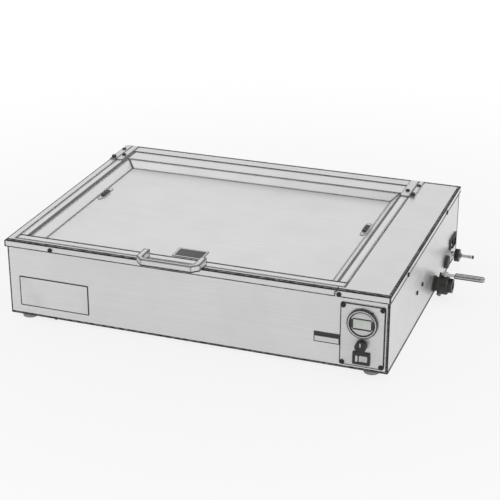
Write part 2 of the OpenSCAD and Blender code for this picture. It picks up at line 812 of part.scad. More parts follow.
module tank() {
  color("lightgray") place() difference() {
    union() {
      round_box(tank_x0 - tank_sheet, tank_x1 + tank_sheet, tank_y0 - tank_sheet,
        tank_y1 + tank_sheet, tank_under, ledge_z, tank_corner_r + tank_sheet);
      box(inner_x0 + fit, tank_flange_x1, inner_y0 + fit, hem_y1, case_top, ledge_z);
    }
    round_box(tank_x0, tank_x1, tank_y0, tank_y1, tank_z, ledge_z + over, tank_corner_r);
    rod_z(drain_x, drain_y, tank_under - over, tank_z + over, pipe_r + fit);
    rod_x(tank_x1 - over, tank_x1 + tank_sheet + over, overflow_tank_y, overflow_tank_z,
      overflow_tube_r + fit);
    hinge_holes(case_top - over, ledge_z + over);
  }
}

insulation_t = 17;
insulation_floor = 28;
mat_t = 3;
mat_inset = 32;
mat_clear_share = 0.86;
drain_channel = 2 * pipe_r;

module heater_mat() {
  color("darkorange") place()
    round_box(tank_x0 + mat_inset, tank_x0 + (tank_x1 - tank_x0) * mat_clear_share,
      tank_y0 + mat_inset, tank_y1 - mat_inset, tank_under - mat_t, tank_under, tank_corner_r);
}

module insulation() {
  gap = tank_sheet + fit;
  floor_top = tank_under - mat_t - fit;
  color("khaki") place() difference() {
    round_box(tank_x0 - gap - insulation_t, tank_x1 + gap + insulation_t,
      tank_y0 - gap - insulation_t, tank_y1 + gap + insulation_t,
      floor_top - insulation_floor, case_top - insulation_t, tank_corner_r);
    round_box(tank_x0 - gap, tank_x1 + gap, tank_y0 - gap, tank_y1 + gap,
      floor_top, case_top, tank_corner_r + gap);
    box(drain_x - drain_channel, tank_x1 + gap + insulation_t + over,
      drain_y - drain_channel, drain_y + drain_channel,
      floor_top - insulation_floor - over, floor_top + over);
    rod_x(tank_x1, tank_x1 + gap + insulation_t + over, overflow_tank_y, overflow_tank_z,
      overflow_tube_r + mat_t);
  }
}

divider_clear = 1.95;
divider_x = control_x - gauge_body_r - divider_clear - case_sheet;
divider_flange_x = divider_x + case_sheet - flange_w;

module divider_wall() {
  color("silver") place() difference() {
    union() {
      box(divider_x, divider_x + case_sheet, inner_y0 + fit, inner_y1 - fit,
        base_z + case_sheet, case_top - case_sheet - fit);
      box(divider_flange_x, divider_x + case_sheet, case_y0 + flange_w + fit, hem_y1,
        case_top - case_sheet, case_top);
      box(divider_x, divider_x + case_sheet, case_y0 + flange_w + fit, hem_y1,
        base_z + case_sheet, case_top);
    }
    rod_x(divider_x - over, divider_x + case_sheet + over, drain_y, drain_z, pipe_r + mat_t);
    rod_x(divider_x - over, divider_x + case_sheet + over, overflow_tank_y, overflow_tank_z,
      overflow_tube_r + mat_t);
    hinge_holes(case_top - case_sheet - over, case_top + over);
  }
}

// Recess of the lid: sloping walls as two crossed outlines
side_slope = slope_w / (recess_depth - border_drop);
front_slope = slope_w / recess_depth;

module recess(drop, cap) {
  low = -recess_depth - drop;
  translate([0, 0, top_z]) intersection() {
    along_y(lid_y0, lid_y1) polygon([
      [side_x0 - (cap + border_drop + drop) * side_slope, cap], [floor_x0, low],
      [floor_x1, low], [side_x1 + (cap + border_drop + drop) * side_slope, cap]]);
    along_x(lid_x0, lid_x1) polygon([
      [band_y - (cap + drop) * front_slope, cap], [floor_y0, low],
      [floor_y1, low], [border_y + (cap + border_drop + drop) * side_slope, cap]]);
  }
}

// Shallow step between the rails, open at the rear
step_back = 0.4;

module border_step(drop, cap, y1) {
  edge = bevel_w / border_drop;
  low = -border_drop - drop;
  translate([0, 0, top_z]) intersection() {
    along_y(lid_y0, y1) polygon([
      [rail_x0 - (cap + drop) * edge, cap], [bevel_x0, low],
      [bevel_x1, low], [rail_x1 + (cap + drop) * edge, cap]]);
    along_x(lid_x0, lid_x1) polygon([
      [band_y + step_back - (cap + drop) * front_slope, cap],
      [band_y + step_back + border_drop * front_slope, low], [y1, low], [y1, cap]]);
  }
}

module lid_pan() {
  color("whitesmoke") place() difference() {
    union() {
      box(lid_x0, lid_x1, lid_y0, lid_y1, top_z - lid_sheet, top_z);
      difference() {
        box(lid_x0, lid_x1, lid_y0, lid_y1, top_z - lid_hem_h, top_z);
        box(lid_x0 + lid_hem_t, lid_x1 - lid_hem_t, lid_y0 + lid_hem_t, lid_y1 - lid_hem_t,
          top_z - lid_hem_h - over, top_z + over);
      }
      border_step(lid_sheet, -lid_sheet / 2, lid_y1);
      recess(lid_sheet, -lid_sheet / 2);
    }
    border_step(0, over, lid_y1 + over);
    recess(0, over);
    for (x = [[lid_x0 - over, bevel_x0], [bevel_x1, lid_x1 + over]])
      box(x[0], x[1], band_y - 2 * crease_w, band_y - crease_w, top_z - crease_h, top_z + over);
    for (x = handle_screw_x)
      rod_z(x, handle_screw_y, top_z - lid_sheet - over, top_z + over,
        handle_screw_r + screw_clear);
    for (x = [left_moving_x, right_moving_x])
      rod_z(x, lid_spot_y, top_z - lid_sheet - over, top_z + over, leaf_hole_r);
  }
}

handle_screw_x = [handle_left + leg_w / 2, handle_x1 - leg_w / 2];
handle_screw_y = handle_y1 - handle_screw_in;

module lid_handle() {
  inner_x0 = handle_left + leg_w;
  inner_x1 = handle_x1 - leg_w;
  inner_y = grip_t - handle_out;
  c = handle_chamfer;
  k = handle_inner_chamfer;
  color("silver") place() difference() {
    translate([0, 0, top_z]) linear_extrude(handle_h) polygon([
      [handle_left, handle_y1], [handle_left, c - handle_out],
      [handle_left + c, -handle_out], [handle_x1 - c, -handle_out],
      [handle_x1, c - handle_out], [handle_x1, handle_y1], [inner_x1, handle_y1],
      [inner_x1, inner_y + k], [inner_x1 - k, inner_y], [inner_x0 + k, inner_y],
      [inner_x0, inner_y + k], [inner_x0, handle_y1]]);
    box(handle_left - over, handle_x1 + over, -handle_out - over, lid_y0,
      top_z - over, top_z + handle_relief);
    for (x = handle_screw_x)
      rod_z(x, handle_screw_y, top_z - over, top_z + handle_screw_len + fit,
        handle_screw_r + fit / 2);
  }
}

module handle_screws() {
  color("dimgray") place() for (x = handle_screw_x)
    translate([x, handle_screw_y, top_z - lid_sheet]) {
      translate([0, 0, -handle_head_h]) cylinder(h = handle_head_h, r = handle_head_r);
      cylinder(h = handle_screw_len, r = handle_screw_r);
    }
}

module lid_label_plate() {
  color("gray") place()
    round_box(label_left, label_left + label_w, floor_y0 + label_gap,
      floor_y0 + label_gap + label_d, floor_z, floor_z + plate_t, 2 * plate_t);
}

strip_x = [floor_x0 + strip_gap + strip_w / 2, floor_x1 - strip_gap - strip_w / 2];
strip_t = 1.2;

module obround(x, y0, y1, z0, z1, r)
  translate([0, 0, z0]) linear_extrude(z1 - z0) {
    translate([x - r, y0 + r]) square([2 * r, y1 - y0 - 2 * r]);
    for (y = [y0 + r, y1 - r]) translate([x, y]) circle(r);
  }

module lid_side_strips() {
  color("silver") place() for (x = strip_x)
    obround(x, strip_front, strip_front + strip_len, floor_z, floor_z + strip_t, strip_w / 2);
}

block_side_share = 0.84;
stud_r_share = 0.2;

module lid_side_blocks() {
  mid = strip_front + strip_len / 2;
  half_w = strip_w * block_side_share / 2;
  z = floor_z + strip_t;
  color("dimgray") place() for (x = strip_x) {
    box(x - half_w, x + half_w, mid - block_len / 2, mid + block_len / 2, z, z + block_h);
    rod_z(x, mid, z + block_h - strip_t / 2, z + block_h + strip_t / 2, strip_w * stud_r_share);
  }
}

// Hinge leaves: a flat leaf that ends in a roll round the pin
module leaf_profile(bore_r) difference() {
  union() {
    translate([leaf_y0, top_z]) square([leaf_len, leaf_t]);
    translate([hinge_y, hinge_z]) circle(knuckle_r);
  }
  translate([hinge_y, hinge_z]) circle(bore_r);
}

module fixed_leaf(x, kx0, spot_x) {
  difference() {
    union() {
      along_x(kx0, x[1]) leaf_profile(pin_r);
      if (kx0 > x[0])
        box(x[0], kx0 + over, leaf_y0, hinge_y - knuckle_r - notch_clear, top_z, top_z + leaf_t);
    }
    rod_z(spot_x, pan_spot_y, top_z - over, top_z + leaf_t + over, leaf_hole_r);
    rod_z(spot_x, bolt_spot_y, top_z - over, top_z + leaf_t + over, leaf_hole_r);
  }
}

module moving_leaf(x, spot_x) {
  difference() {
    along_x(x[0], x[1]) leaf_profile(pin_r + pin_clear);
    rod_z(spot_x, lid_spot_y, top_z - over, top_z + leaf_t + over, leaf_hole_r);
    box(x[0] - over, x[1] + over, lid_y1 - leaf_relief, hinge_y - knuckle_r - notch_clear,
      top_z - over, top_z + leaf_relief);
  }
}

module hinge_fixed_leaf_left()
  color("silver") place() fixed_leaf(left_fixed, leaf_edge + knuckle_in, left_fixed_x);
module hinge_fixed_leaf_right()
  color("silver") place() fixed_leaf(right_fixed, right_fixed[0], right_fixed_x);
module hinge_moving_leaf_left()
  color("silver") place() moving_leaf(left_moving, left_moving_x);
module hinge_moving_leaf_right()
  color("silver") place() moving_leaf(right_moving, right_moving_x);
module hinge_pin_left()
  color("gray") place() rod_x(leaf_edge + knuckle_in, left_moving[1], hinge_y, hinge_z, pin_r);
module hinge_pin_right()
  color("gray") place() rod_x(right_moving[0], right_fixed[1], hinge_y, hinge_z, pin_r);

module hinge_pan_screws() {
  color("dimgray") place() for (x = [left_fixed_x, right_fixed_x])
    translate([x, pan_spot_y, top_z + leaf_t])
      pan_screw(head_r, head_h, screw_r, leaf_t + skirt_h / 2);
}

module hinge_hex_bolts() {
  color("dimgray") place() for (x = [left_fixed_x, right_fixed_x])
    translate([x, bolt_spot_y, top_z + leaf_t]) {
      cylinder(h = washer_t, r = washer_r);
      translate([0, 0, washer_t]) linear_extrude(bolt_h) hexagon(bolt_af);
      translate([0, 0, -leaf_t - skirt_h / 2]) cylinder(h = leaf_t + skirt_h / 2 + washer_t / 2,
        r = screw_r);
    }
}

module hinge_lid_screws() {
  color("dimgray") place() for (x = [left_moving_x, right_moving_x])
    translate([x, lid_spot_y, top_z + leaf_t])
      pan_screw(head_r, lid_screw_h, screw_r, leaf_t + lid_sheet + clinch_t);
}

module hinge_clinch_nuts() {
  color("gray") place() for (x = [left_moving_x, right_moving_x])
    translate([x, lid_spot_y, top_z - lid_sheet - clinch_t]) difference() {
      cylinder(h = clinch_t, r = clinch_r);
      translate([0, 0, -over]) cylinder(h = clinch_t + 2 * over, r = screw_r + fit / 2);
    }
}

// Openings shared by the front panel and the case wall behind it
bushing_r = 5;
rocker_body_w = rocker_bezel_w - 2 * rocker_bezel_t;
rocker_body_h = rocker_bezel_h - 1.5 * rocker_bezel_t;

module panel_cuts(y0, y1) {
  rod_y(control_x, y0, y1, gauge_z, gauge_body_r + fit);
  rod_y(control_x, y0, y1, knob_z, bushing_r + fit);
  box(control_x - rocker_body_w / 2 - fit, control_x + rocker_body_w / 2 + fit, y0, y1,
    rocker_z - rocker_body_h / 2 - fit, rocker_z + rocker_body_h / 2 + fit);
  panel_spots() rod_y(0, y0, y1, 0, leaf_hole_r);
}

module front_panel() {
  color("gainsboro") place() difference() {
    along_y(panel_y, case_y0) round_rect(panel_x0, panel_x1, panel_z0, panel_z1, panel_r);
    panel_cuts(panel_y - over, case_y0 + over);
  }
}

module panel_screws() {
  color("dimgray") place() panel_spots()
    screw_front(0, panel_y, 0, panel_t + case_sheet + head_h);
}

bezel_round = 1.5;
bezel_step = 1.6;
face_t = 1.2;
window_t = 0.8;
window_drop = 0.7;
lug_r = 2;
lug_angle = 52;

// The thermometer turns about a front to rear line; it is drawn facing up
module face_front(z) translate([control_x, panel_y, z]) rotate([90, 0, 0]) children();

module gauge_bezel() {
  color("silver") place() face_front(gauge_z) difference() {
    union() {
      rotate_extrude() {
        square([gauge_r, gauge_out - bezel_round]);
        square([gauge_r - bezel_round, gauge_out]);
        translate([gauge_r - bezel_round, gauge_out - bezel_round]) circle(bezel_round);
      }
      rotate(lug_angle) translate([gauge_r, 0, 0]) cylinder(h = gauge_out / 2, r = lug_r);
      translate([0, 0, -gauge_body_len]) cylinder(h = gauge_body_len + over, r = gauge_body_r);
    }
    translate([0, 0, gauge_out - bezel_step - face_t])
      cylinder(h = gauge_out, r = gauge_inner_r);
  }
}

module gauge_face() {
  color("dimgray") place() face_front(gauge_z)
    translate([0, 0, gauge_out - bezel_step - face_t]) difference() {
      cylinder(h = face_t, r = gauge_inner_r - fit / 2);
      translate([0, -window_drop, -over]) linear_extrude(face_t + 2 * over)
        square([window_w, window_h], center = true);
    }
}

module gauge_window() {
  color("darkgray") place() face_front(gauge_z)
    translate([0, -window_drop, gauge_out - bezel_step - face_t]) linear_extrude(window_t)
      square([window_w - fit, window_h - fit], center = true);
}

thermostat_w = 28;
thermostat_len = 24;
bushing_len = 1.2;
knob_gap = 0.8;
knob_face_share = 0.42;

module thermostat_body() {
  half_w = thermostat_w / 2;
  color("dimgray") place() difference() {
    union() {
      box(control_x - half_w, control_x + half_w, inner_y0, inner_y0 + thermostat_len,
        knob_z - half_w, knob_z + half_w);
      rod_y(control_x, panel_y - bushing_len, inner_y0 + over, knob_z, bushing_r);
    }
    rod_y(control_x, panel_y - bushing_len - over, inner_y0 + thermostat_len / 2, knob_z,
      shaft_r + pin_clear);
  }
}

module thermostat_shaft() {
  color("gray") place()
    rod_y(control_x, panel_y - knob_out / 2, inner_y0 + thermostat_len / 2 - notch_clear,
      knob_z, shaft_r);
}

// Knob with flutes, a finger dimple and a pointer slot on its face
dimple_r = 4.2;
dimple_h = 1;
slot_w = 1.8;
slot_h = 0.8;
dimple_angle = 236;
slot_angle = 66;
slot_in_share = 0.3;
slot_out_share = 0.88;
dimple_share = 0.5;

module thermostat_knob() {
  color("black") place() face_front(knob_z) difference() {
    translate([0, 0, knob_gap]) linear_extrude(knob_out - knob_gap) difference() {
      circle(knob_r);
      for (i = [0 : knob_flutes - 1]) rotate(i * 360 / knob_flutes)
        translate([knob_r, 0]) circle(flute_r, $fn = 16);
    }
    translate([0, 0, -over]) cylinder(h = knob_out / 2 + over, r = shaft_r);
    translate([0, 0, -over]) cylinder(h = bushing_len + knob_gap + over, r = bushing_r + knob_gap);
    rotate(dimple_angle) translate([knob_r * dimple_share, 0, knob_out - dimple_h])
      cylinder(h = dimple_h + over, r = dimple_r);
    rotate(slot_angle) translate([knob_r * slot_in_share, -slot_w / 2, knob_out - slot_h])
      cube([knob_r * (slot_out_share - slot_in_share), slot_w, slot_h + over]);
  }
}

// Rocker switch: the rocker tilts about an upright line behind the bezel face
rocker_axis_in = 2;
rocker_clear = 0.9;
rocker_gap = 0.4;
stub_r = 1.5;
stub_len = 1.6;
rocker_back = 6;
rocker_back_share = 0.4;
rocker_dish = 1.3;
rocker_out = 1.6;
rocker_body_len = 20;

module rocker_bezel() {
  y_front = panel_y - rocker_bezel_t;
  axis_y = panel_y + rocker_axis_in;
  half_w = rocker_w / 2 + rocker_clear;
  half_h = rocker_h / 2 + rocker_gap;
  color("black") place() difference() {
    union() {
      along_y(y_front, panel_y) round_rect(control_x - rocker_bezel_w / 2,
        control_x + rocker_bezel_w / 2, rocker_z - rocker_bezel_h / 2,
        rocker_z + rocker_bezel_h / 2, rocker_bezel_t / 2);
      box(control_x - rocker_body_w / 2, control_x + rocker_body_w / 2, panel_y - over,
        panel_y + rocker_body_len, rocker_z - rocker_body_h / 2, rocker_z + rocker_body_h / 2);
    }
    box(control_x - half_w, control_x + half_w, y_front - over,
      axis_y + rocker_back + 2 * rocker_clear, rocker_z - half_h, rocker_z + half_h);
    rod_z(control_x, axis_y, rocker_z - half_h - stub_len - fit,
      rocker_z + half_h + stub_len + fit, stub_r + pin_clear);
  }
}

module rocker() {
  axis_y = panel_y + rocker_axis_in;
  y_front = panel_y - rocker_bezel_t - rocker_out - axis_y;
  half_w = rocker_w / 2;
  half_h = rocker_h / 2;
  color("dimgray") place() translate([control_x, axis_y, rocker_z]) rotate(rocker_tilt) {
    translate([0, 0, -half_h]) linear_extrude(rocker_h) polygon([
      [-half_w, y_front], [0, y_front + rocker_dish], [half_w, y_front],
      [half_w, 0], [half_w * rocker_back_share, rocker_back],
      [-half_w * rocker_back_share, rocker_back], [-half_w, 0]]);
    rod_z(0, 0, -half_h - rocker_gap - stub_len, half_h + rocker_gap + stub_len, stub_r);
  }
}

module tag_plate() {
  x1 = panel_x0 - tag_gap;
  z0 = ground_gap + tag_low;
  color("gray") place()
    box(x1 - tag_w, x1, case_y0 - plate_t, case_y0, z0, z0 + tag_h);
}

module name_plate() {
  z0 = ground_gap + name_low;
  color("gray") place() along_y(case_y0 - plate_t, case_y0)
    round_rect(name_left, name_left + name_w, z0, z0 + name_h, 2 * plate_t);
}

// Terminal block inside the right wall, held by the two side screws
side_screw_shares = [0.3667, 0.4387];
side_screw_y = [for (s = side_screw_shares) body_d * s];
side_screw_up = 65;
side_screw_z = ground_gap + side_screw_up;
block_margin = 8;
block_t = 18;
block_z = 20;

module side_screws() {
  color("dimgray") place() for (y = side_screw_y)
    screw_right(wall_x, y, side_screw_z, case_sheet + block_t / 2);
}

module terminal_block() {
  color("ivory") place() difference() {
    box(inner_x1 - block_t, inner_x1, side_screw_y[0] - block_margin,
      side_screw_y[1] + block_margin, side_screw_z - block_z / 2, side_screw_z + block_z / 2);
    for (y = side_screw_y)
      rod_x(inner_x1 - block_t / 2 - fit, inner_x1 + over, y, side_screw_z, screw_r + screw_clear);
  }
}

// The drain pipe drops from the tank floor and runs out through the right wall
module drain_pipe_solid(r, extra) {
  x1 = wall_x + valve_start + rim_sheet;
  top = tank_z + extra;
  rod_z(drain_x, drain_y, drain_z + drain_bend_r, top, r);
  translate([drain_x + drain_bend_r, drain_y, drain_z + drain_bend_r])
    rotate([0, 0, 180]) rotate([90, 0, 0]) rotate([0, 0, -90])
      rotate_extrude(angle = 90) translate([drain_bend_r, 0]) circle(r);
  rod_x(drain_x + drain_bend_r, x1 + extra, drain_y, drain_z, r);
}

collar_wide = 5;
collar_t = 3;

module drain_pipe() {
  color("silver") place() difference() {
    union() {
      drain_pipe_solid(pipe_r, 0);
      rod_x(inner_x1 - collar_t, inner_x1, drain_y, drain_z, pipe_r + collar_wide);
    }
    drain_pipe_solid(pipe_r - pipe_wall, over);
  }
}

module bulkhead_nut() {
  color("dimgray") place() difference() {
    union() {
      rod_x(wall_x, wall_x + nut_flange_t, drain_y, drain_z, nut_flange_r);
      translate([0, drain_y, drain_z]) along_x(wall_x + nut_flange_t, wall_x + nut_out)
        hexagon(nut_af);
    }
    rod_x(wall_x - over, wall_x + nut_out + over, drain_y, drain_z, pipe_r + fit / 2);
  }
}

// Valve pieces are drawn from the wall outwards
module at_drain() translate([wall_x, drain_y, drain_z]) children();
inlet_step = 3.2;
pipe_seat = 2.4;
cavity_step = stem_r + 2 * valve_clear;
valve_chamfer = 2.5;
neck_r = 6.5;
neck_out = 19.6;
spigot_r = 12.3;

module valve_body() {
  x0 = valve_start;
  x1 = valve_end_out;
  s0 = x0 + inlet_step;
  color("darkgray") place() at_drain() difference() {
    union() {
      along_x(x0, s0) hexagon(inlet_af);
      rotate([0, 90, 0]) rotate_extrude() polygon([
        [0, s0 - over], [valve_r, s0 - over], [valve_r, x1 - valve_chamfer],
        [valve_r - valve_chamfer, x1], [0, x1]]);
      translate([stem_out, 0, 0]) cylinder(h = neck_out, r = neck_r);
    }
    rod_x(x0 - over, x0 + pipe_seat, 0, 0, pipe_r + fit / 2);
    rod_x(x0, stem_out, 0, 0, passage_r);
    translate([stem_out, 0, 0]) sphere(ball_r + valve_clear);
    rod_x(stem_out + cavity_step, x1 + over, 0, 0, spigot_r + fit / 2);
    translate([stem_out, 0, 0]) cylinder(h = neck_out + over, r = stem_r + pin_clear);
  }
}

module valve_end() {
  x0 = stem_out + cavity_step + fit;
  x1 = valve_end_out + outlet_len;
  color("gray") place() at_drain() difference() {
    union() {
      rod_x(x0, valve_end_out + over, 0, 0, spigot_r);
      along_x(valve_end_out, x1) hexagon(outlet_af);
    }
    translate([stem_out, 0, 0]) sphere(ball_r + valve_clear);
    rod_x(stem_out, x1 + over, 0, 0, passage_r);
    rod_x(x1 - outlet_depth, x1 + over, 0, 0, outlet_r);
  }
}

tang_w = 3;
tang_in = 6;

module valve_ball() {
  color("silver") place() at_drain() translate([stem_out, 0, 0]) difference() {
    sphere(ball_r);
    rod_x(-ball_r - over, ball_r + over, 0, 0, passage_r);
    box(-ball_r, ball_r, -tang_w / 2 - fit / 2, tang_w / 2 + fit / 2, tang_in, ball_r + over);
  }
}

lever_z = 20;
square_half = 2.7;
nut_t = 3.4;
lever_nut_af = 10;
lever_boss_r = 6.6;
stem_top_share = 1.2;
stem_top = lever_z + lever_t + nut_t * stem_top_share;

module valve_stem() {
  color("gray") place() at_drain() translate([stem_out, 0, 0]) {
    intersection() {
      box(-stem_r, stem_r, -tang_w / 2, tang_w / 2, tang_in + fit, ball_r + fit);
      translate([0, 0, tang_in]) cylinder(h = ball_r, r = stem_r);
    }
    translate([0, 0, ball_r + fit / 2]) cylinder(h = lever_z - ball_r - fit / 2, r = stem_r);
    box(-square_half, square_half, -square_half, square_half, lever_z - fit, lever_z + lever_t);
    translate([0, 0, lever_z + lever_t - fit]) cylinder(h = stem_top - lever_z - lever_t + fit,
      r = square_half);
  }
}

grip_x0 = lever_reach - lever_grip_len;

module valve_lever() {
  tip = lever_reach - lever_w;
  color("silver") place() at_drain() translate([stem_out, 0, lever_z]) difference() {
    linear_extrude(lever_t) {
      circle(lever_boss_r);
      translate([0, -lever_w / 2]) square([tip, lever_w]);
      translate([tip, 0]) circle(lever_w / 2);
    }
    box(-square_half - fit / 4, square_half + fit / 4, -square_half - fit / 4,
      square_half + fit / 4, -over, lever_t + over);
  }
}

crease_in = 0.5;
crease_line = 0.9;

module lever_grip() {
  mid = lever_z + lever_t / 2;
  z0 = mid - lever_grip_t / 2;
  r = lever_grip_w / 2;
  tip = lever_reach - lever_w;
  color("black") place() at_drain() translate([stem_out, 0, 0]) difference() {
    translate([0, 0, z0]) linear_extrude(lever_grip_t) {
      translate([grip_x0, -r]) square([lever_grip_len - r, lever_grip_w]);
      translate([lever_reach - r, 0]) circle(r);
    }
    translate([0, 0, lever_z - fit / 2]) linear_extrude(lever_t + fit) {
      translate([grip_x0 - over, -lever_w / 2 - fit / 2]) square([tip - grip_x0 + over, lever_w + fit]);
      translate([tip, 0]) circle(lever_w / 2 + fit / 2);
    }
    box(grip_x0 + crease_line, lever_reach - lever_grip_t, -crease_line / 2, crease_line / 2,
      z0 + lever_grip_t - crease_in, z0 + lever_grip_t + over);
  }
}

module lever_nut() {
  color("silver") place() at_drain() translate([stem_out, 0, lever_z + lever_t]) difference() {
    linear_extrude(nut_t) hexagon(lever_nut_af);
    translate([0, 0, -over]) cylinder(h = nut_t + 2 * over, r = square_half + fit / 2);
  }
}

// Overflow tube from the tank wall down to the fitting on the right wall
overflow_tank_y = overflow_y - overflow_shift;
overflow_tank_z = ledge_z - overflow_drop;
overflow_rise = sqrt(pow(overflow_tank_z - overflow_z, 2) + pow(overflow_shift, 2));
overflow_lean = atan2(overflow_shift, overflow_tank_z - overflow_z);
overflow_leg_x = inner_x1 - 2 * overflow_bend_r;

module overflow_path(r, extra) {
  b = overflow_bend_r;
  translate([0, overflow_y, overflow_z]) rotate([overflow_lean, 0, 0]) {
    rod_x(overflow_leg_x + b, inner_x1 + extra, 0, 0, r);
    translate([overflow_leg_x + b, 0, b]) rotate([90, 0, 0]) rotate(180)
      rotate_extrude(angle = 90) translate([b, 0]) circle(r);
    rod_z(overflow_leg_x, 0, b, overflow_rise - b, r);
    translate([overflow_leg_x - b, 0, overflow_rise - b]) rotate([90, 0, 0])
      rotate_extrude(angle = 90) translate([b, 0]) circle(r);
    rod_x(tank_x1 - extra, overflow_leg_x - b, 0, overflow_rise, r);
  }
}

module overflow_tube() {
  color("silver") place() difference() {
    overflow_path(overflow_tube_r, 0);
    overflow_path(overflow_tube_r - overflow_wall, over);
  }
}

module overflow_hub() {
  color("lightgray") place() difference() {
    rod_x(wall_x, wall_x + hub_len, overflow_y, overflow_z, hub_r);
    rod_x(wall_x - over, wall_x + hub_len + over, overflow_y, overflow_z, nozzle_r + fit / 2);
  }
}

knurl_groove_r = 0.7;
knurl_count = 22;

module overflow_nut() {
  color("dimgray") place() difference() {
    translate([0, overflow_y, overflow_z]) along_x(wall_x + hub_len, wall_x + hub_len + knurl_len)
      difference() {
        circle(knurl_r);
        for (i = [0 : knurl_count - 1]) rotate(i * 360 / knurl_count)
          translate([knurl_r, 0]) circle(knurl_groove_r, $fn = 16);
      }
    rod_x(wall_x + hub_len - over, wall_x + hub_len + knurl_len + over, overflow_y, overflow_z,
      nozzle_r + fit / 2);
  }
}

ring_gap = 2.6;
ring_out = hub_len + knurl_len + ring_gap;
ring_t = 1.4;
ring_r = 5;

module overflow_nozzle() {
  color("silver") place() difference() {
    union() {
      rod_x(inner_x1 + fit, wall_x + nozzle_reach, overflow_y, overflow_z, nozzle_r);
      rod_x(wall_x + ring_out - ring_t / 2, wall_x + ring_out + ring_t / 2, overflow_y,
        overflow_z, ring_r);
      rod_x(wall_x + nozzle_reach - collar_len, wall_x + nozzle_reach, overflow_y,
        overflow_z, collar_r);
    }
    rod_x(inner_x1 - over, wall_x + nozzle_reach + over, overflow_y, overflow_z, nozzle_bore_r);
  }
}

fuse_body_r = 8;
fuse_body_len = 28;
fuse_rib_r = 1;

module fuse_holder() {
  color("black") place() translate([wall_x, fuse_y, fuse_z]) {
    rod_x(-fuse_body_len, over, 0, 0, fuse_body_r);
    along_x(0, fuse_out / 3) circle(fuse_r);
    along_x(fuse_out / 3 - over / 4, fuse_out) difference() {
      circle(fuse_r - fuse_rib_r);
      for (i = [0 : fuse_ribs - 1]) rotate(i * 360 / fuse_ribs)
        translate([fuse_r - fuse_rib_r, 0]) circle(fuse_rib_r, $fn = 16);
    }
  }
}

// Power inlet: flange, shroud, socket and the body behind the wall
inlet_body_w = 28;
inlet_body_h = 20;
inlet_body_len = 20;
inlet_shroud = 5.5;
inlet_screw_in = 20;
inlet_screw_r = 1.5;
inlet_head_r = 2.8;
inlet_head_h = 1.4;
socket_chamfer = 5;
blade_w = 4;
blade_t = 2;
blade_pitch = 7;
earth_up = 2;
blade_short = 2;

module power_inlet() {
  color("black") place() translate([wall_x, inlet_y, inlet_z]) difference() {
    union() {
      along_x(0, inlet_t)
        round_rect(-inlet_w / 2, inlet_w / 2, -inlet_h / 2, inlet_h / 2, inlet_t);
      box(-inlet_body_len, inlet_shroud, -inlet_body_w / 2, inlet_body_w / 2,
        -inlet_body_h / 2, inlet_body_h / 2);
    }
    along_x(inlet_shroud - socket_depth, inlet_shroud + over) polygon([
      [-socket_w / 2, -socket_h / 2], [socket_w / 2, -socket_h / 2],
      [socket_w / 2, socket_h / 2 - socket_chamfer],
      [socket_w / 2 - socket_chamfer, socket_h / 2],
      [socket_chamfer - socket_w / 2, socket_h / 2],
      [-socket_w / 2, socket_h / 2 - socket_chamfer]]);
    for (s = [-1, 1])
      rod_x(-over, inlet_t + over, s * inlet_screw_in, 0, inlet_screw_r + screw_clear);
  }
}

module inlet_blades() {
  color("goldenrod") place() translate([wall_x, inlet_y, inlet_z]) {
    x0 = inlet_shroud - socket_depth;
    x1 = inlet_shroud - blade_short;
    for (s = [-1, 1])
      box(x0, x1, s * blade_pitch - blade_t / 2, s * blade_pitch + blade_t / 2,
        -blade_w / 2 - earth_up, blade_w / 2 - earth_up);
    box(x0, x1, -blade_t / 2, blade_t / 2, -blade_w / 2 + earth_up, blade_w / 2 + earth_up);
  }
}

module inlet_screws() {
  color("gray") place() for (s = [-1, 1])
    translate([wall_x + inlet_t, inlet_y + s * inlet_screw_in, inlet_z]) rotate([0, 90, 0])
      pan_screw(inlet_head_r, inlet_head_h, inlet_screw_r, inlet_t + case_sheet + inlet_head_h);
}

case_shell();
base_plate();
base_screws();
feet();
foot_screws();
rim_frame();
rim_screws();
control_cover();
cover_screws();
tank();
insulation();
heater_mat();
divider_wall();
lid_pan();
lid_handle();
handle_screws();
lid_label_plate();
lid_side_strips();
lid_side_blocks();
hinge_fixed_leaf_left();
hinge_fixed_leaf_right();
hinge_moving_leaf_left();
hinge_moving_leaf_right();
hinge_pin_left();
hinge_pin_right();
hinge_pan_screws();
hinge_hex_bolts();
hinge_lid_screws();
hinge_clinch_nuts();
front_panel();
panel_screws();
gauge_bezel();
gauge_face();
gauge_window();
thermostat_body();
thermostat_shaft();
thermostat_knob();
rocker_bezel();
rocker();
tag_plate();
name_plate();
side_screws();
terminal_block();
drain_pipe();
bulkhead_nut();
valve_body();
valve_end();
valve_ball();
valve_stem();
valve_lever();
lever_grip();
lever_nut();
overflow_tube();
overflow_hub();
overflow_nut();
overflow_nozzle();
fuse_holder();
power_inlet();
inlet_blades();
inlet_screws();
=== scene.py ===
import json
import math

import bmesh
import bpy
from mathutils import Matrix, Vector


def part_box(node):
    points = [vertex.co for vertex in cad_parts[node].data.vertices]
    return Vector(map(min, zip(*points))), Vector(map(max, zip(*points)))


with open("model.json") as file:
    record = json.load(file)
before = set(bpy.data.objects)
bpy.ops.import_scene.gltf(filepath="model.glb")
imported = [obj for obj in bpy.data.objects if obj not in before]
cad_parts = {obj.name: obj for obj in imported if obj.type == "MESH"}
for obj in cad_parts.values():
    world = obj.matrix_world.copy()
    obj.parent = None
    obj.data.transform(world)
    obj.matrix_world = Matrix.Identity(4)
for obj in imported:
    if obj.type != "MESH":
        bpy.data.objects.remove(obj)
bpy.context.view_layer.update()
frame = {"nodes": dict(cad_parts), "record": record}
nodes = frame["nodes"]

X, Y, Z = 0, 1, 2


# Camera, fitted to the drawing's edges of the case and the lid

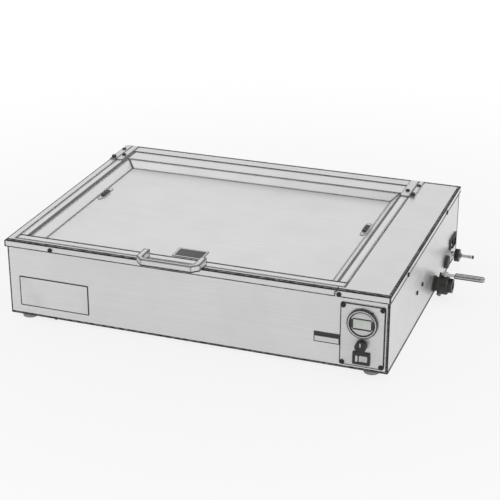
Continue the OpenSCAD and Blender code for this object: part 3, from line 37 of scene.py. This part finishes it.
CAMERA_PLACE = (0.814725, -2.3405, 1.1723)
CAMERA_TURN = (66.29, 0.0, 19.79)
CAMERA_LENS = 103.9
CAMERA_SENSOR = 36.0
CAMERA_RANGE = (0.05, 400.0)


def make_camera():
    data = bpy.data.cameras.new("photo_camera")
    data.sensor_width = CAMERA_SENSOR
    data.lens = CAMERA_LENS
    data.clip_start, data.clip_end = CAMERA_RANGE
    camera = bpy.data.objects.new("photo_camera", data)
    camera.location = CAMERA_PLACE
    camera.rotation_euler = [math.radians(angle) for angle in CAMERA_TURN]
    bpy.context.scene.collection.objects.link(camera)
    bpy.context.scene.camera = camera


make_camera()


# Shader nodes

# Sockets of the Mix node for each kind of data: first input, second input, result
MIX_SOCKETS = {"VECTOR": (4, 5, 1), "RGBA": (6, 7, 2)}
NUMBER_RESULTS = ("LENGTH", "DISTANCE", "DOT_PRODUCT")
SINE_45 = 0.7071


class Tree:
    """Short calls for the shader nodes used here."""

    def __init__(self, tree):
        self.tree = tree
        tree.nodes.clear()

    def add(self, kind, **settings):
        node = self.tree.nodes.new(kind)
        for key, value in settings.items():
            setattr(node, key, value)
        return node

    def put(self, socket, value):
        """Link another socket, or set a number, a vector or a colour without its alpha."""
        if isinstance(value, bpy.types.NodeSocket):
            self.tree.links.new(value, socket)
        elif socket.type == "RGBA":
            socket.default_value = (*value, 1.0)
        else:
            socket.default_value = value

    def calc(self, operation, a, b=0.0):
        node = self.add("ShaderNodeMath", operation=operation)
        self.put(node.inputs[0], a)
        self.put(node.inputs[1], b)
        return node.outputs[0]

    def vector(self, operation, a, b=None):
        node = self.add("ShaderNodeVectorMath", operation=operation)
        self.put(node.inputs[0], a)
        if b is not None:
            self.put(node.inputs[1], b)
        return node.outputs["Value" if operation in NUMBER_RESULTS else "Vector"]

    def ramp(self, value, low, high, to_low=0.0, to_high=1.0):
        """A smooth step from to_low, where the value is low, to to_high."""
        node = self.add("ShaderNodeMapRange", interpolation_type="SMOOTHSTEP")
        self.put(node.inputs["Value"], value)
        self.put(node.inputs["From Min"], low)
        self.put(node.inputs["From Max"], high)
        self.put(node.inputs["To Min"], to_low)
        self.put(node.inputs["To Max"], to_high)
        return node.outputs[0]

    def split(self, vector):
        node = self.add("ShaderNodeSeparateXYZ")
        self.put(node.inputs[0], vector)
        return node.outputs

    def mix(self, kind, a, b, share):
        """a where the share is 0 and b where it is 1, for vectors or colours."""
        first, second, result = MIX_SOCKETS[kind]
        node = self.add("ShaderNodeMix", data_type=kind)
        self.put(node.inputs[0], share)
        self.put(node.inputs[first], a)
        self.put(node.inputs[second], b)
        return node.outputs[result]

    def blend(self, a, b, share):
        return self.mix("RGBA", a, b, share)


class Shade(Tree):
    """A material with one Principled surface."""

    def __init__(self, name):
        self.material = bpy.data.materials.new(name)
        self.material.use_nodes = True
        super().__init__(self.material.node_tree)
        self.surface = self.add("ShaderNodeBsdfPrincipled")
        out = self.add("ShaderNodeOutputMaterial")
        self.put(out.inputs["Surface"], self.surface.outputs[0])
        self.place = self.add("ShaderNodeTexCoord")

    def scaled(self, by):
        node = self.add("ShaderNodeMapping")
        self.put(node.inputs["Vector"], self.place.outputs["Object"])
        self.put(node.inputs["Scale"], by)
        return node.outputs[0]

    def noise(self, scale, detail=3.0, rough=0.55, vector=None):
        node = self.add("ShaderNodeTexNoise")
        self.put(node.inputs["Vector"], vector or self.place.outputs["Object"])
        self.put(node.inputs["Scale"], scale)
        self.put(node.inputs["Detail"], detail)
        self.put(node.inputs["Roughness"], rough)
        return node.outputs["Fac"]

    def axes(self, output="Object"):
        return self.split(self.place.outputs[output])

    def fields(self, boxes):
        """1 inside any of the boxes. A box is a row of (output, axis, low, high) tests on the
        place ("Object") or on the direction ("Normal") of the surface."""
        whole = 0.0
        for box in boxes:
            inside = 1.0
            for output, axis, low, high in box:
                value = self.axes(output)[axis]
                within = self.calc("MULTIPLY", self.calc("GREATER_THAN", value, low),
                                   self.calc("LESS_THAN", value, high))
                inside = self.calc("MULTIPLY", inside, within)
            whole = self.calc("MAXIMUM", whole, inside)
        return whole

    def bends(self, pairs=()):
        """1 where the surface turns between its flat directions: the axes and, for each pair of
        axes given, the slope halfway between them."""
        parts = [self.calc("ABSOLUTE", part) for part in self.axes("Normal")]
        flat = self.calc("MAXIMUM", self.calc("MAXIMUM", parts[X], parts[Y]), parts[Z])
        for i, j in pairs:
            slope = self.calc("MULTIPLY", self.calc("ADD", parts[i], parts[j]), SINE_45)
            flat = self.calc("MAXIMUM", flat, slope)
        return self.ramp(flat, 0.95, 0.99, 1.0, 0.0)

    def edges(self, radius=0.005, low=0.86):
        """1 along sharp edges and 0 on flat ground. The line's half-width is about a third of
        the radius."""
        bevel = self.add("ShaderNodeBevel", samples=6)
        self.put(bevel.inputs["Radius"], radius)
        flat = self.add("ShaderNodeNewGeometry")
        same = self.vector("DOT_PRODUCT", bevel.outputs[0], flat.outputs["Normal"])
        return self.ramp(same, low, 0.993, 1.0, 0.0)

    def bump(self, height, distance, strength=0.5):
        node = self.add("ShaderNodeBump")
        self.put(node.inputs["Strength"], strength)
        self.put(node.inputs["Distance"], distance)
        self.put(node.inputs["Height"], height)
        self.put(self.surface.inputs["Normal"], node.outputs[0])

    def finish(self, colour, rough, metal=0.0, coat=0.0):
        self.put(self.surface.inputs["Base Color"], colour)
        self.put(self.surface.inputs["Roughness"], rough)
        self.put(self.surface.inputs["Metallic"], metal)
        self.put(self.surface.inputs["Coat Weight"], coat)
        return self.material


# Tests on the surface, for the boxes of Shade.fields

FAR = 9.0
UP = ("Normal", Z, 0.5, 2.0)
FORWARD = ("Normal", Y, -2.0, -0.5)
RIGHT = ("Normal", X, 0.5, 2.0)


def between(axis, low, high):
    return ("Object", axis, low, high)


def below(axis, limit):
    return between(axis, -FAR, limit)


def above(axis, limit):
    return between(axis, limit, FAR)


def face_box(low, high, axis, inset):
    """The span of X and of one more axis, less the inset on all four sides."""
    return (between(X, low[X] + inset, high[X] - inset),
            between(axis, low[axis] + inset, high[axis] - inset))


def span(node):
    """Lowest and highest corner of a node."""
    low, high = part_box(node)
    return tuple(low), tuple(high)


def centre(low, high):
    return tuple((a + b) / 2 for a, b in zip(low, high))


# Materials

def grey(tone, warm=0.0):
    return (tone * (1 + warm), tone, tone * (1 - warm))


# Dark colour of the painted shade along edges, folds and seams
SHADE_LINE_COLOUR = grey(0.02)
# Faint dark colour: painted shade on plate borders and round the dial's window and rim, and the
# dial's dark cheeks
FAINT_DARK = grey(0.05)
BRUSH_STRETCH = 60
SHADE_STREAK_SCALE = (120.0, 500.0, 500.0)
PLATE_BRUSH_SCALE = (12.0, 700.0, 700.0)
# The lines of painted shade are rougher than the sheet, so that they stay dark in grazing light
SHADE_LINES_ROUGHER = 0.3


def satin(name, tone, rough=0.34, streak=0.07, cloud=0.05, edge=0.92, grain=380.0, warm=0.0,
          metal=0.82, line=0.0036, turn=0.86, pairs=(), shade_fields=(), folded=True):
    """Brushed sheet: fine lines along X, or along Y on walls that face X. Its edges, its folds
    (where it is folded) and the given fields are darkened with painted shade: dark lines and
    streaked dark bands."""
    s = Shade(name)
    side = s.calc("GREATER_THAN", s.calc("ABSOLUTE", s.axes("Normal")[X]), 0.7)
    along = grain / BRUSH_STRETCH
    brushed = s.mix("VECTOR", s.scaled((along, grain, grain)), s.scaled((grain, along, grain)),
                    side)
    lines = s.noise(1.0, 5.0, 0.65, brushed)
    mist = s.noise(5.5)
    smear = s.noise(19.0, 4.0, 0.6)
    colour = s.blend(grey(tone * (1 - streak), warm), grey(tone, warm), s.ramp(lines, 0.3, 0.7))
    colour = s.blend(colour, grey(tone * (1 - 2 * cloud), warm),
                     s.ramp(mist, 0.45, 0.75, 0.0, 0.6))
    roughness = s.calc("ADD", s.ramp(lines, 0.25, 0.75, rough - 0.05, rough + 0.05),
                       s.ramp(smear, 0.4, 0.7, 0.0, 0.07))
    if edge:
        # Painted shade: dark lines along the edges and the folds, and streaked dark bands in the
        # given fields
        painted_shade = s.edges(line, turn)
        if folded:
            painted_shade = s.calc("MAXIMUM", painted_shade, s.bends(pairs))
        if shade_fields:
            shade_streaks = s.ramp(s.noise(1.0, 2.0, 0.5, s.scaled(SHADE_STREAK_SCALE)), 0.42, 0.62, 1.0, 0.7)
            painted_shade = s.calc("MAXIMUM", painted_shade, s.calc("MULTIPLY", s.fields(shade_fields), shade_streaks))
        colour = s.blend(colour, SHADE_LINE_COLOUR, s.calc("MULTIPLY", painted_shade, edge))
        roughness = s.calc("ADD", roughness, s.calc("MULTIPLY", painted_shade, SHADE_LINES_ROUGHER))
    s.bump(lines, 0.00004, 0.35)
    return s.finish(colour, roughness, metal)


def painted(name, tone, rough=0.5, edge_tone=None, grain=900.0, depth=0.00006, metal=0.0,
            warm=0.0, edge_wear_and_shade=0.35, tint=None, line=0.0012, marks=(), mark_tone=0.03):
    """Moulded plastic, paint or rubber: fine orange peel, faint mottling and edges in a second
    tone, with marks in a third. The lighter edges of dark pieces are wear; the dark edges of pale
    pieces are painted shade."""
    s = Shade(name)
    base = tint or grey(tone, warm)
    peel = s.noise(grain, 2.0)
    mottle = s.noise(60.0, 4.0)
    colour = s.blend([c * 0.82 for c in base], base, s.ramp(mottle, 0.3, 0.65))
    # Edges in the second tone: worn lighter on dark pieces, a dark outline of painted shade on
    # pale pieces
    if edge_tone is not None:
        colour = s.blend(colour, grey(edge_tone), s.calc("MULTIPLY", s.edges(line), edge_wear_and_shade))
    if marks:
        colour = s.blend(colour, grey(mark_tone), s.fields(marks))
    roughness = s.calc("ADD", s.ramp(mottle, 0.3, 0.7, rough - 0.06, rough + 0.06),
                       s.ramp(peel, 0.3, 0.7, -0.03, 0.03))
    s.bump(peel, depth, 0.4)
    return s.finish(colour, roughness, metal)


def felt(name):
    """Insulation: matted fibres."""
    s = Shade(name)
    fibres = s.noise(420.0, 6.0, 0.75)
    lumps = s.noise(40.0)
    colour = s.blend((0.52, 0.44, 0.27), (0.80, 0.74, 0.58), s.ramp(fibres, 0.35, 0.65))
    colour = s.blend(colour, (0.62, 0.55, 0.38), s.ramp(lumps, 0.4, 0.7))
    s.bump(fibres, 0.0012, 0.8)
    return s.finish(colour, 0.95)


def silicone(name):
    """Heater mat: orange silicone over a woven core."""
    s = Shade(name)
    weave = s.add("ShaderNodeTexWave", wave_type="BANDS", bands_direction="X")
    s.put(weave.inputs["Vector"], s.place.outputs["Object"])
    s.put(weave.inputs["Scale"], 160.0)
    s.put(weave.inputs["Distortion"], 1.0)
    patch = s.noise(12.0, 4.0)
    colour = s.blend((0.42, 0.14, 0.05), (0.60, 0.24, 0.09), s.ramp(patch, 0.3, 0.7))
    s.bump(weave.outputs["Fac"], 0.0003, 0.5)
    return s.finish(colour, s.ramp(patch, 0.3, 0.7, 0.55, 0.7))


def display(name):
    """Display window: pale glass over a grey-green plate."""
    s = Shade(name)
    cloud = s.noise(90.0, 2.0)
    colour = s.blend((0.72, 0.76, 0.71), (0.80, 0.84, 0.79), s.ramp(cloud, 0.3, 0.7))
    return s.finish(colour, s.ramp(cloud, 0.3, 0.7, 0.10, 0.16), coat=0.5)


def plate(name, tone, field=(), field_tone=0.06, inner=(), rough=0.42, metal=0.85, edge=0.0,
          marks=()):
    """Thin metal plate with a dark field (print on the label and the tag, painted shade along the
    top of the front panel), a dark line of painted shade outside the inner field, and dark edges
    and dark marks of painted shade."""
    s = Shade(name)
    lines = s.noise(1.0, 4.0, 0.6, s.scaled(PLATE_BRUSH_SCALE))
    mist = s.noise(25.0)
    colour = s.blend(grey(tone * 0.93), grey(tone), s.ramp(lines, 0.3, 0.7))
    colour = s.blend(colour, grey(tone * 0.88), s.ramp(mist, 0.4, 0.75, 0.0, 0.5))
    if field:
        inside = s.fields((field,))
        ink = s.ramp(s.noise(300.0), 0.3, 0.7, field_tone * 0.8, field_tone * 1.2)
        print_and_shade_colour = s.add("ShaderNodeCombineColor")
        for socket in print_and_shade_colour.inputs:
            s.put(socket, ink)
        colour = s.blend(colour, print_and_shade_colour.outputs[0], inside)
        metal = s.calc("SUBTRACT", metal, s.calc("MULTIPLY", inside, metal))
    if inner:
        colour = s.blend(FAINT_DARK, colour, s.fields((inner,)))
    if edge:
        colour = s.blend(colour, SHADE_LINE_COLOUR, s.calc("MULTIPLY", s.edges(), edge))
    if marks:
        colour = s.blend(colour, grey(0.03), s.fields(marks))
    s.bump(lines, 0.00003, 0.3)
    return s.finish(colour, s.ramp(mist, 0.3, 0.7, rough - 0.05, rough + 0.05), metal)


def gauge_face(name, low, high, window_low, window_high):
    """Pale dial with dark cheeks beside the window, and painted shade: a thin dark frame round it
    and a dark rim.
    """
    s = Shade(name)
    side, above_window, rim_radius = 0.001, 0.0026, 0.0205
    dark = s.fields((
        (between(Z, window_low[Z], window_high[Z]),),
        (between(X, window_low[X] - side, window_high[X] + side),
         between(Z, window_low[Z] - above_window, window_high[Z] + above_window))))
    reach = s.vector("DISTANCE", s.place.outputs["Object"], centre(low, high))
    dark = s.calc("MAXIMUM", dark, s.calc("GREATER_THAN", reach, rim_radius))
    peel = s.noise(900.0, 2.0)
    pale = s.blend(grey(0.78), grey(0.86), s.ramp(peel, 0.3, 0.7))
    s.bump(peel, 0.00004, 0.3)
    return s.finish(s.blend(pale, FAINT_DARK, dark), s.ramp(peel, 0.3, 0.7, 0.4, 0.5))


def ring(name, low, high, inner, outer):
    """A pale ring about Y with a dark line of painted shade along its inner and its outer edge."""
    s = Shade(name)
    from_middle = s.vector("SUBTRACT", s.place.outputs["Object"], centre(low, high))
    reach = s.vector("LENGTH", s.vector("MULTIPLY", from_middle, (1.0, 0.0, 1.0)))
    dark = s.calc("MAXIMUM", s.calc("LESS_THAN", reach, inner),
                  s.calc("GREATER_THAN", reach, outer))
    peel = s.noise(1100.0, 2.0)
    pale = s.blend(grey(0.74), grey(0.82), s.ramp(peel, 0.3, 0.7))
    s.bump(peel, 0.00003, 0.3)
    return s.finish(s.blend(pale, grey(0.04), dark), s.ramp(peel, 0.3, 0.7, 0.28, 0.36))


def dress(node, material):
    mesh = nodes[node].data
    mesh.materials.clear()
    mesh.materials.append(material)
    for face in mesh.polygons:
        face.material_index = 0


# Nodes that share a material, by their slot in the record

materials = {
    "inner_steel": satin("inner_steel", 0.62, rough=0.42, streak=0.14, cloud=0.1, edge=0.2,
                         grain=240.0),
    "tank_steel": satin("tank_steel", 0.70, rough=0.3, streak=0.1, cloud=0.08, edge=0.3),
    "hinge_steel": satin("hinge_steel", 0.76, rough=0.36, streak=0.08, cloud=0.06, edge=0.9,
                         grain=500.0, line=0.004, folded=False),
    "hub_metal": satin("hub_metal", 0.78, rough=0.3, streak=0.06, cloud=0.04, edge=0.9,
                       grain=800.0, line=0.001, folded=False),
    "zinc_screw": satin("zinc_screw", 0.66, rough=0.3, streak=0.12, cloud=0.08, edge=0.6,
                        grain=900.0, warm=0.02, line=0.001, folded=False),
    "ball_chrome": satin("ball_chrome", 0.8, rough=0.12, streak=0.03, cloud=0.04, edge=0.0,
                         grain=900.0),
    "dark_screw": painted("dark_screw", 0.035, rough=0.42, edge_tone=0.16, grain=1200.0,
                          depth=0.00003, metal=0.6),
    "foot_rubber": painted("foot_rubber", 0.46, rough=0.72, edge_tone=0.04, grain=700.0,
                           depth=0.00012, edge_wear_and_shade=0.9, line=0.004),
    "insulation_felt": felt("insulation_felt"),
    "heater_rubber": silicone("heater_rubber"),
    "display_glass": display("display_glass"),
    "dark_plastic": painted("dark_plastic", 0.035, rough=0.5, edge_tone=0.1),
    "block_ceramic": painted("block_ceramic", 0.8, rough=0.6, grain=500.0, depth=0.0001,
                             warm=0.03),
    "valve_dark": painted("valve_dark", 0.06, rough=0.4, edge_tone=0.22, grain=500.0,
                          depth=0.00008, metal=0.85, warm=0.04),
    "blade_brass": painted("blade_brass", 0.6, rough=0.3, depth=0.00003, metal=1.0,
                           tint=(0.78, 0.58, 0.26)),
}

for part in frame["record"]["subparts"]:
    if part["material_slot"] in materials:
        dress(part["node"], materials[part["material_slot"]])


# Top and case. The drawing hatches the front edge of the top, the right edge of the cover, the
# case's lower front edge and its front right corner, and it has a line along the other edges

rim_low, rim_high = span("rim_frame")
right_x = span("control_cover")[1][X]
# Painted shade: streaked dark bands in these fields and in the case's fields below, along the
# hatched edges, and dark lines along all edges
top_edge_shade = (
    (below(Y, rim_low[Y] + 0.0092), UP),
    (above(X, right_x - 0.006), UP),
    (above(Y, rim_high[Y] - 0.008), UP),
    (below(X, rim_low[X] + 0.0036), UP),
    (below(Z, rim_low[Z] + 0.0024), FORWARD),
    (below(Z, rim_low[Z] + 0.0050), RIGHT),
    (below(X, rim_low[X] + 0.0026), FORWARD),
    (above(X, right_x - 0.0030), FORWARD))
dress("rim_frame", satin("rim_frame_steel", 0.80, edge=0.98, shade_fields=top_edge_shade))
dress("control_cover", satin("control_cover_steel", 0.80, edge=0.98, line=0.0024,
                             shade_fields=top_edge_shade))

low, high = span("case_shell")
dress("case_shell", satin("case_steel", 0.80, edge=0.98, shade_fields=(
    (below(Z, low[Z] + 0.0042), FORWARD),
    (above(X, high[X] - 0.0045), FORWARD),
    (below(X, low[X] + 0.0036), FORWARD),
    (below(Z, low[Z] + 0.0062), RIGHT),
    (above(Y, high[Y] - 0.009), RIGHT))))


# Lid: a dark line of painted shade along the front edge of its recess

low, high = span("lid_pan")
dress("lid_pan", satin("lid_steel", 0.83, rough=0.33, edge=0.98, line=0.0062, turn=0.94,
                       pairs=((X, Z), (Y, Z)),
                       shade_fields=((between(Y, low[Y] + 0.0150, low[Y] + 0.0200), UP),)))
# The handle: painted shade along its edges and a dark band of it along its lower front edge
low, high = span("lid_handle")
dress("lid_handle", satin("handle_face", 0.76, rough=0.32, streak=0.06, cloud=0.04, edge=1.0,
                          grain=700.0, line=0.0065, turn=0.9, pairs=((X, Y),),
                          shade_fields=((below(Z, low[Z] + 0.0030), FORWARD),)))


# Plates: bare, with the dark fields that the drawing shows

# Each plate's dark line outside its inner field is painted shade along its border
low, high = span("lid_label_plate")
dress("lid_label_plate", plate("lid_label_face", 0.74, field=face_box(low, high, Y, 0.0035),
                               field_tone=0.05, inner=face_box(low, high, Y, 0.0008)))
# The tag's dark strip is its upper part
low, high = span("tag_plate")
strip_z = low[Z] + 0.56 * (high[Z] - low[Z])
strip = (between(X, low[X], high[X]), between(Z, strip_z, high[Z]))
dress("tag_plate", plate("tag_face", 0.76, field=strip, field_tone=0.03,
                         inner=face_box(low, high, Z, 0.0016)))
low, high = span("name_plate")
dress("name_plate", plate("name_face", 0.80, inner=face_box(low, high, Z, 0.0019)))


# Front controls

low, high = span("front_panel")
# Painted shade: a dark line along the panel's top edge, dark marks along its other three edges,
# and dark edges
top_line = (between(X, low[X], high[X]), between(Z, high[Z] - 0.0018, high[Z]))
dress("front_panel", plate("panel_front", 0.80, field=top_line, field_tone=0.03, rough=0.38,
                           metal=0.6, edge=0.95, marks=((above(X, high[X] - 0.0020),),
                                                        (below(X, low[X] + 0.0015),),
                                                        (below(Z, low[Z] + 0.0014),))))
dress("gauge_face", gauge_face("gauge_face", *span("gauge_face"), *span("gauge_window")))
dress("gauge_bezel", ring("bezel_ring_face", *span("gauge_bezel"), inner=0.0230,
                          outer=0.0246))

# The line between the rocker's two halves lies left of its middle
low, high = span("rocker")
line_x = low[X] + 0.27 * (high[X] - low[X])
dress("rocker", painted("rocker_face", 0.80, rough=0.34, edge_tone=0.3, grain=1200.0,
                        depth=0.00003,
                        marks=((between(X, line_x - 0.0012, line_x + 0.0012),),)))

low, high = span("thermostat_knob")
middle = centre(low, high)
pointer = (between(X, middle[X] - 0.0010, middle[X] + 0.0010),
           between(Z, middle[Z] + 0.0010, high[Z] - 0.0020),
           between(Y, low[Y] - 0.001, low[Y] + 0.0004))
dress("thermostat_knob", painted("knob_face", 0.03, rough=0.46, edge_tone=0.12,
                                 marks=(pointer,), mark_tone=0.8))


# Right side: the drawing has the grip and the nozzle in outline

# Painted shade: dark outlines on the edges of the grip and the nozzle, and dark bands along their
# sides and lower edges
low, high = span("lever_grip")
dress("lever_grip", painted("grip_face", 0.70, rough=0.48, edge_tone=0.03, grain=800.0,
                            edge_wear_and_shade=1.0, line=0.005,
                            marks=((below(Y, low[Y] + 0.0030), UP),
                                   (above(Y, high[Y] - 0.0030), UP),
                                   (below(Z, low[Z] + 0.0018), FORWARD))))
low, high = span("overflow_nozzle")
dress("overflow_nozzle", painted("nozzle_face", 0.72, rough=0.4, edge_tone=0.03,
                                 grain=800.0, depth=0.00003, metal=0.6, edge_wear_and_shade=1.0, line=0.003,
                                 marks=((below(Z, low[Z] + 0.0022), FORWARD),
                                        (above(Y, high[Y] - 0.0020), UP),
                                        (above(X, high[X] - 0.0022),))))


# Softer edges on the pieces that are bent, cast or moulded: width of the bevel in metres

BEVEL_SEGMENTS = 2
BEVEL_ANGLE = 28.0
WELD_DISTANCE = 0.000002
SOFT_EDGES = {
    "lid_handle": 0.0009, "feet": 0.0006, "thermostat_knob": 0.0005, "rocker_bezel": 0.0005,
    "rocker": 0.0004, "gauge_bezel": 0.0004, "lever_grip": 0.0010, "valve_body": 0.0006,
    "valve_end": 0.0006, "bulkhead_nut": 0.0006, "overflow_nut": 0.0003, "overflow_hub": 0.0005,
    "valve_lever": 0.0004, "lever_nut": 0.0004, "fuse_holder": 0.0004, "power_inlet": 0.0005,
    "lid_side_strips": 0.0003, "lid_side_blocks": 0.0005, "terminal_block": 0.0006,
}


def soften(node, width):
    weld = nodes[node].modifiers.new("join_faces", "WELD")
    weld.merge_threshold = WELD_DISTANCE
    bevel = nodes[node].modifiers.new("soft_edges", "BEVEL")
    bevel.width = width
    bevel.segments = BEVEL_SEGMENTS
    bevel.limit_method = "ANGLE"
    bevel.angle_limit = math.radians(BEVEL_ANGLE)
    bevel.harden_normals = True
    bevel.use_clamp_overlap = True


for node, width in SOFT_EDGES.items():
    soften(node, width)


# Stage: a pale floor that turns white far away, and soft studio light

FLOOR_RADIUS = 60.0
FLOOR_TONE = 0.86
# How much of the floor's white is seen in the metal
FLOOR_MIRRORED = 0.78
# Horizontal direction that the front wall mirrors into the camera
MIRRORED_SKY = (-0.33, -0.944, 0.0)
LAMP_TARGET = (0.0, 0.0, 0.08)


def make_floor():
    mesh = bpy.data.meshes.new("floor")
    b = bmesh.new()
    bmesh.ops.create_circle(b, cap_ends=True, radius=FLOOR_RADIUS, segments=64)
    b.to_mesh(mesh)
    b.free()
    floor = bpy.data.objects.new("floor", mesh)
    bpy.context.scene.collection.objects.link(floor)
    material = bpy.data.materials.new("floor")
    material.use_nodes = True
    t = Tree(material.node_tree)
    diffuse = t.add("ShaderNodeBsdfDiffuse")
    t.put(diffuse.inputs["Color"], grey(FLOOR_TONE))
    glow = t.add("ShaderNodeEmission")
    t.put(glow.inputs["Color"], grey(1.0))
    rays = t.add("ShaderNodeLightPath").outputs
    mirrored = t.calc("MULTIPLY", rays["Is Glossy Ray"], FLOOR_MIRRORED)
    seen = t.calc("MAXIMUM", rays["Is Camera Ray"],
                  t.calc("MAXIMUM", mirrored, rays["Is Transmission Ray"]))
    reach = t.vector("LENGTH", t.add("ShaderNodeTexCoord").outputs["Object"])
    share = t.calc("MULTIPLY", seen, t.ramp(reach, 0.40, 1.5, 0.80, 1.0))
    mix = t.add("ShaderNodeMixShader")
    for socket, value in zip(mix.inputs, (share, diffuse.outputs[0], glow.outputs[0])):
        t.put(socket, value)
    t.put(t.add("ShaderNodeOutputMaterial").inputs["Surface"], mix.outputs[0])
    mesh.materials.append(material)


def make_world():
    """White to the camera. What lights the object is bright behind it and overhead, and dim low
    in the part that the front wall mirrors, so that bent edges carry a dark line."""
    world = bpy.data.worlds.new("studio")
    bpy.context.scene.world = world
    world.use_nodes = True
    t = Tree(world.node_tree)
    direction = t.add("ShaderNodeTexCoord").outputs["Generated"]
    height = t.split(direction)[Z]
    level = t.vector("NORMALIZE", t.vector("MULTIPLY", direction, (1.0, 1.0, 0.0)))
    facing = t.ramp(t.vector("DOT_PRODUCT", level, MIRRORED_SKY), 0.70, 0.93)
    behind = t.ramp(height, 0.45, 0.90, 0.90, 0.58)
    before = t.ramp(height, 0.62, 0.84, 0.16, 0.58)
    light = t.calc("ADD", t.calc("MULTIPLY", behind, t.calc("SUBTRACT", 1.0, facing)),
                   t.calc("MULTIPLY", before, facing))
    rays = t.add("ShaderNodeLightPath").outputs
    seen = t.calc("MAXIMUM", rays["Is Camera Ray"], rays["Is Transmission Ray"])
    unseen_light = t.calc("MULTIPLY", light, t.calc("SUBTRACT", 1.0, seen))
    glow = t.add("ShaderNodeBackground")
    t.put(glow.inputs["Color"], grey(1.0))
    t.put(glow.inputs["Strength"], t.calc("MAXIMUM", seen, unseen_light))
    t.put(t.add("ShaderNodeOutputWorld").inputs["Surface"], glow.outputs[0])


def make_lamp(name, place, size, power):
    """A square lamp that faces the object."""
    data = bpy.data.lights.new(name, "AREA")
    data.shape = "RECTANGLE"
    data.size = data.size_y = size
    data.energy = power
    lamp = bpy.data.objects.new(name, data)
    lamp.location = place
    lamp.rotation_euler = (Vector(LAMP_TARGET) - Vector(place)).to_track_quat("-Z", "Y").to_euler()
    bpy.context.scene.collection.objects.link(lamp)


make_floor()
make_world()
make_lamp("key_lamp", place=(-2.3, -0.9, 3.0), size=3.6, power=18.0)
make_lamp("fill_lamp", place=(2.9, -0.6, 1.5), size=2.4, power=14.0)

bpy.context.scene.view_settings.view_transform = "Standard"
